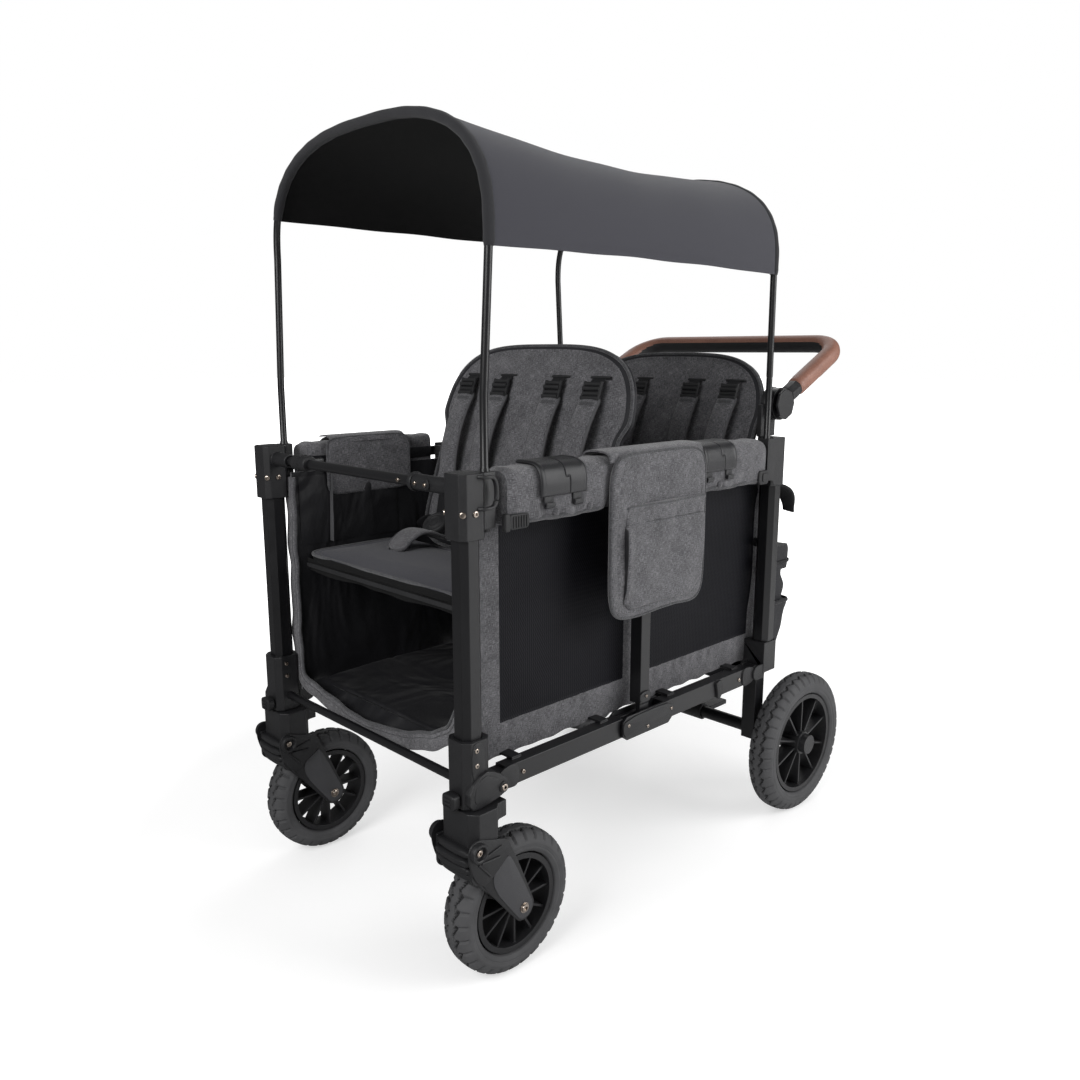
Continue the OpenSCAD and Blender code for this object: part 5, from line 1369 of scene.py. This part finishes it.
# %% Leather, sleeve and collars
def leather(name):
    """Tanned leather: fine pebbles with darker valleys, slow shading, and a soft sheen."""
    f = Finish(name)
    pebble = f.node("ShaderNodeTexVoronoi", {"feature": "SMOOTH_F1"}, {"Vector": f.place, "Scale": 520})
    slow, fine = f.noise(22, 4), f.noise(1400, 2)
    tone = slow*0.55 + pebble*0.5 + fine*0.15
    return f.surface(f.ramp(tone, (0.25, (0.150, 0.065, 0.045)), (0.80, (0.30, 0.145, 0.102))), slow*0.14 + 0.42,
                     pebble*0.7 + fine*0.2, 0.0004, 0.4, coat_weight=0.05, specular_ior_level=0.4)


LEATHER = leather("brown_leather")
RISE_ANGLE = math.radians(26)
ARM_X, REACH, BEND = 258.5, 262, 62


def on_handle(x, along, up):
    """Points of the handle's frame in the wagon: along counts from the pivot towards the grip."""
    c, s = math.cos(RISE_ANGLE), math.sin(RISE_ANGLE)
    return np.stack(np.broadcast_arrays(x, 409 + along*c - up*s, 847 + along*s + up*c), -1)


def u_line(start, count=220):
    """The tube's middle line from one arm round both bends to the other."""
    a = np.linspace(0, np.pi/2, 24)
    one = np.column_stack([np.full(20, ARM_X), np.linspace(start, REACH - BEND, 20)])
    bend = np.column_stack([ARM_X - BEND + BEND*np.cos(a), REACH - BEND + BEND*np.sin(a)])
    half = np.concatenate([one, bend[1:], [(0, REACH)]])
    return evenly(np.concatenate([half, half[-2::-1]*(-1, 1)]), count)


HANDLE_UP = on_handle(0, 0, 1) - on_handle(0, 0, 0)
flat_line = u_line(66)
path = on_handle(flat_line[:, 0], flat_line[:, 1], 0)
wrap = swept(path, oval(36, 35, 48, 2.35), HANDLE_UP)
ends = quarter(np.minimum(np.arange(220), 219 - np.arange(220)), 2.5)
wrap = path[:, None] + (wrap - path[:, None])*(0.86 + 0.14*ends)[:, None, None]
middle = on_handle(0, 60, 0)
inner_side = ((wrap - path[:, None])*(path - middle)[:, None]).sum(-1) < 0
down = (wrap - path[:, None])[..., 2] < 5
black = (inner_side & down)[:-1, :] & (inner_side & down)[1:, :]
grip = Piece().grid(wrap, np.where(np.roll(black, -1, axis=1) & black, 1, 0), loop_j=True)
for end in (0, -1):
    grip.grid(np.stack([wrap[end], path[[end]].repeat(48, 0)]), 1, loop_j=True)
grip = grip.object("grip_wrap", "handle", [LEATHER, DARK_NYLON], "grip", ["handle_grip"], 50)
collars = Piece()
for s in (-1, 1):
    along = np.linspace(34, 66, 9)
    a = 2*np.pi*(np.arange(8) + 0.5)/8
    octagon = 17.4*np.stack([np.cos(a), np.sin(a)], -1)
    collars.tube(0, on_handle(s*ARM_X, along, 0), octagon, HANDLE_UP, [0.94, 1, 1, 1, 1, 1, 1, 1, 0.95])
collars.object("handle_collars", "handle", [NYLON], "moulding", sharp=30)
print("handle done")

# %% [markdown]
# ## Screws, lugs and cover plates
# The hard pieces carry small fittings that tell how the wagon is put together: pan-head screws through the
# caps and brackets, an open guard behind each front cap, a plate that leads the lower rail's hinge, ribbed
# bellows and a lug on each caster. Turned pieces are rings round an axis, and plates are outlines
# in y and z with a rounded rim, so each fitting is a few lines that sit on the faces of the CAD model.

# %% Turned pieces, screws and plates
def turned(profile, place, axis, count=24):
    """Rings round an axis: (radius, height) pairs, where a radius may vary round the turn."""
    a = 2*np.pi*np.arange(count)/count
    n = np.asarray(axis, float)/np.linalg.norm(axis)
    u = np.cross(n, (0, 0, 1))
    u /= np.linalg.norm(u)
    v = np.cross(n, u)
    rings = [np.broadcast_to(r, count)[:, None]*(np.cos(a)[:, None]*u + np.sin(a)[:, None]*v) + h*n
             for r, h in profile]
    return np.asarray(place, float) + np.stack(rings)


def screw(place, axis, r=4.6, tall=2.4):
    """A pan head with a hexagon socket sunk into it."""
    a = 2*np.pi*np.arange(24)/24
    socket = 0.5*r*0.866/np.cos((a % (np.pi/3)) - np.pi/6)
    return turned([(r, -0.5), (r, 0.5*tall), (0.93*r, 0.8*tall), (0.74*r, tall), (socket, tall),
                   (0.96*socket, 0.25*tall)], place, axis)


def slab(outline, low, high, soft=1.2, cuts=2, count=96):
    """A plate between two values of x from an outline in y and z, its outer rim rounded by soft."""
    loop = evenly(rounded(outline, cuts), count, closed=True)
    along = np.roll(loop, -1, axis=0) - np.roll(loop, 1, axis=0)
    inward = np.stack([-along[:, 1], along[:, 0]], -1)/np.linalg.norm(along, axis=1, keepdims=True)
    inward *= np.sign(((loop.mean(axis=0) - loop)*inward).sum())
    out = np.sign(high - low)
    rims = [(0, low), (0, high - out*soft), (0.3*soft, high - out*0.3*soft), (soft, high)]
    return np.stack([np.column_stack([np.full(count, x), loop + d*inward]) for d, x in rims])


def fit(name, body, finishes, slot, *grids, mirror=True, stands_for=(), sharp=35):
    """One object from closed grids, given as (finish, grid), on one or both sides of the wagon."""
    piece = Piece()
    for finish, grid in grids:
        piece.solid(grid, finish)
    if mirror:
        piece.mirrored()
    return piece.object(name, body, finishes, slot, stands_for, sharp)


POST_X, POST_Y, CAP_HALF, BRACKET_HALF, PIVOT_Y, PIVOT_Z = 265, 385, 23, 25, 345, 322
heads = []
for s in (-1, 1):
    side, corner = POST_X + s*CAP_HALF, CAP_HALF - 4
    heads += [(0, screw((side, -POST_Y, 730), (s, 0, 0))),
              (0, screw((POST_X + s*corner, -POST_Y - corner, 730), (s, -1, 0)))]
    heads += [(0, screw((POST_X + s*BRACKET_HALF, -POST_Y - 6, z), (s, 0, 0), 3.8)) for z in (390, 367)]
fit("front_screw_heads", "front_frame", [NICKEL], "steel", *heads, stands_for=["front_screws"])

# %% Front caps, brackets and top bar
guard = rounded([(287, -378, 780), (295, -374, 780), (295, -353, 779), (295, -352, 738), (295, -374, 736),
                 (287, -378, 736)], 2, closed=False)
hinge_lead = [(-380, 357), (-357, 349), (-336, 333), (-332, 322), (-337, 311), (-384, 300.6), (-408, 303),
              (-408, 334)]
lead_face = [(-400, 330), (-384, 352), (-360, 343), (-345, 330), (-352, 318), (-388, 309), (-400, 312)]
sleeve_face = [(-400, 402), (-377, 402), (-376, 350), (-384, 344), (-400, 344)]
fit("front_cap_guards", "front_frame", [NYLON], "moulding",
    (0, swept(evenly(guard, 40), oval(7, 5, 16, 4), (0, 0.3, 1))))
fit("front_hinge_leads", "front_frame", [NYLON, NICKEL], "moulding", (0, slab(hinge_lead, 283, 295.5, 2.0, 1)),
    (0, slab(lead_face, 295, 296.6, 0.9)),
    (0, slab(sleeve_face, 289, 291.4, 1.0)),
    (0, turned([(8.5, 0), (8.5, 2.6), (7.4, 3.6)], (295, -PIVOT_Y, PIVOT_Z), (1, 0, 0))),
    (1, screw((298, -PIVOT_Y, PIVOT_Z), (1, 0, 0), 5.4)))
BAR_Z = 762
ring = [(12.6, -21), (13.4, -20), (13.4, -4), (11.6, -3), (11.6, 3), (13.4, 4), (13.4, 20), (12.6, 21)]
bolts = [(0, turned(ring, (-155, -POST_Y, BAR_Z), (1, 0, 0))),
         (0, turned([(13.6, -4), (14.2, -3), (14.2, 3), (13.6, 4)], (156, -POST_Y, BAR_Z), (1, 0, 0))),
         (0, turned([(7.5, 0), (7.5, 14), (6.5, 15.2)], (197, -POST_Y, BAR_Z), (0, -1, 0)))]
bolts += [(1, screw((x, -POST_Y - r, BAR_Z), (0, -1, 0), 3.4)) for x, r in ((124, 8), (170, 12), (197, 15))]
fit("top_bar_clamps", "front_frame", [NYLON, NICKEL], "moulding", *bolts, mirror=False)

# %% Rail ends, hinge covers and post feet
rail_end = [(-298, 340), (-320, 341), (-338, 334), (-347, 322), (-338, 310), (-320, 303.6), (-298, 303.6)]
hinge_face = [(-65, 320), (-57, 339), (52, 340.5), (71, 333), (74, 312), (48, 302), (-54, 303)]
for name, s in (("front", 1), ("rear", -1)):
    ends = [(s*y, z) for y, z in rail_end]
    fit(f"{name}_rail_end_fittings", f"{name}_lower", [NYLON, NICKEL], "moulding",
        (0, slab(ends, 276.5, 279.6, 1.0)), (1, screw((277, -288*s, 321), (1, 0, 0), 3.6)))
fit("hinge_covers", "rear_lower", [NYLON, NICKEL], "moulding", (0, slab(hinge_face, 282, 285, 1.4, 1)),
    *[(1, screw((285, y, z), (1, 0, 0), 2.9, 1.6)) for y, z in ((-50, 327), (1, 312), (66, 327))])
fit("rail_latches", "rear_lower", [NYLON], "moulding",
    (0, slab([(206, 338), (230, 338), (229, 318), (222, 302), (214, 302), (212, 318)], 276.5, 282, 1.2)))
fit("middle_post_feet", "centre", [NYLON, NICKEL], "moulding",
    (0, slab([(-15, 374), (15, 374), (15, 354), (-15, 354)], 277.5, 280, 1.0)),
    (1, screw((280, 0, 366), (1, 0, 0), 2.8)))
print("frame fittings done")

# %% Casters: swivel lock, lug, bellows and blade face
SWIVEL_X, LUG_Y, LUG_Z = 265, -407, 246
shoulder = [(-424, 254), (-408, 266), (-388, 258), (-345, 246), (-340, 222), (-384, 190), (-398, 187), (-413, 203),
            (-423, 232)]
lug_profile = [(15, 0), (15, 6), (14, 8), (11.4, 8.4), (10, 7.4), (8.6, 3.4)]
tip = np.radians(np.linspace(22, -128, 9))
round_tip = lambda r: [(WHEEL_Y + r*math.cos(a), WHEEL_Z + r*math.sin(a)) for a in tip]
blade_edge = [(-410, 204), (-402, 236), (-344, 238), (-334, 226)] + round_tip(22)
blade_face = [(-384, 186), (-346, 212), (-338, 214)] + round_tip(18)
for side, s in (("left", 1), ("right", -1)):
    both = lambda x: [(SWIVEL_X + x)*s, (SWIVEL_X - x)*s]
    fork, shell, lock = [], [], []
    for x0, x1, x2, x3, out in zip(both(35.2), both(36.8), both(38.2), both(39.5), (s, -s)):
        fork += [(2, slab(blade_edge, x0, x1, 1.0)), (0, slab(blade_face, x1, x2, 0.8)),
                 (1, screw((x3, WHEEL_Y, WHEEL_Z), (out, 0, 0), 6.6, 2.8))]
    for x0, x1, x2, x3, out in zip(both(41), both(44), both(43.5), both(47), (s, -s)):
        shell += [(0, slab(shoulder, x0, x1, 1.6, 3)), (1, screw((x3, LUG_Y, LUG_Z), (out, 0, 0), 5.4, 2.6)),
                  (0, turned(lug_profile, (x2, LUG_Y, LUG_Z), (out, 0, 0), 32))]
        for y0, z0, y1, z1 in ((-398, 232, -362, 240), (-400, 226, -366, 224), (-406, 226, -384, 200)):
            rib = np.linspace((x1, y0, z0), (x1, y1, z1), 6)
            shell.append((0, swept(rib, oval(4.6, 3.4, 10), (0, 0, 1))))
    for z, deep, wide in ((241, 19, 76), (228, 22, 78), (215, 19, 74), (203, 14, 66)):
        shell.append((0, block((wide, 2*deep, 12.4), (SWIVEL_X*s, -403, z), power=3.4)))
    lock += [(0, block((28, 15, 23), (SWIVEL_X*s, -418.4, 314), power=4.5))]
    lock += [(0, block((16, 3, 3.4), (SWIVEL_X*s, -425.8, z), power=4)) for z in (307, 313, 319)]
    fit(f"fork_blade_faces_{side}", f"fork_{side}", [BLADE, NICKEL, NYLON], "moulding", *fork, mirror=False)
    fit(f"caster_lugs_{side}", f"caster_{side}", [NYLON, NICKEL], "moulding", *shell, mirror=False)
    fit(f"swivel_lock_block_{side}", f"swivel_lock_{side}", [NYLON], "moulding", *lock, mirror=False,
        stands_for=[f"swivel_lock_{side}"])
print("caster fittings done")
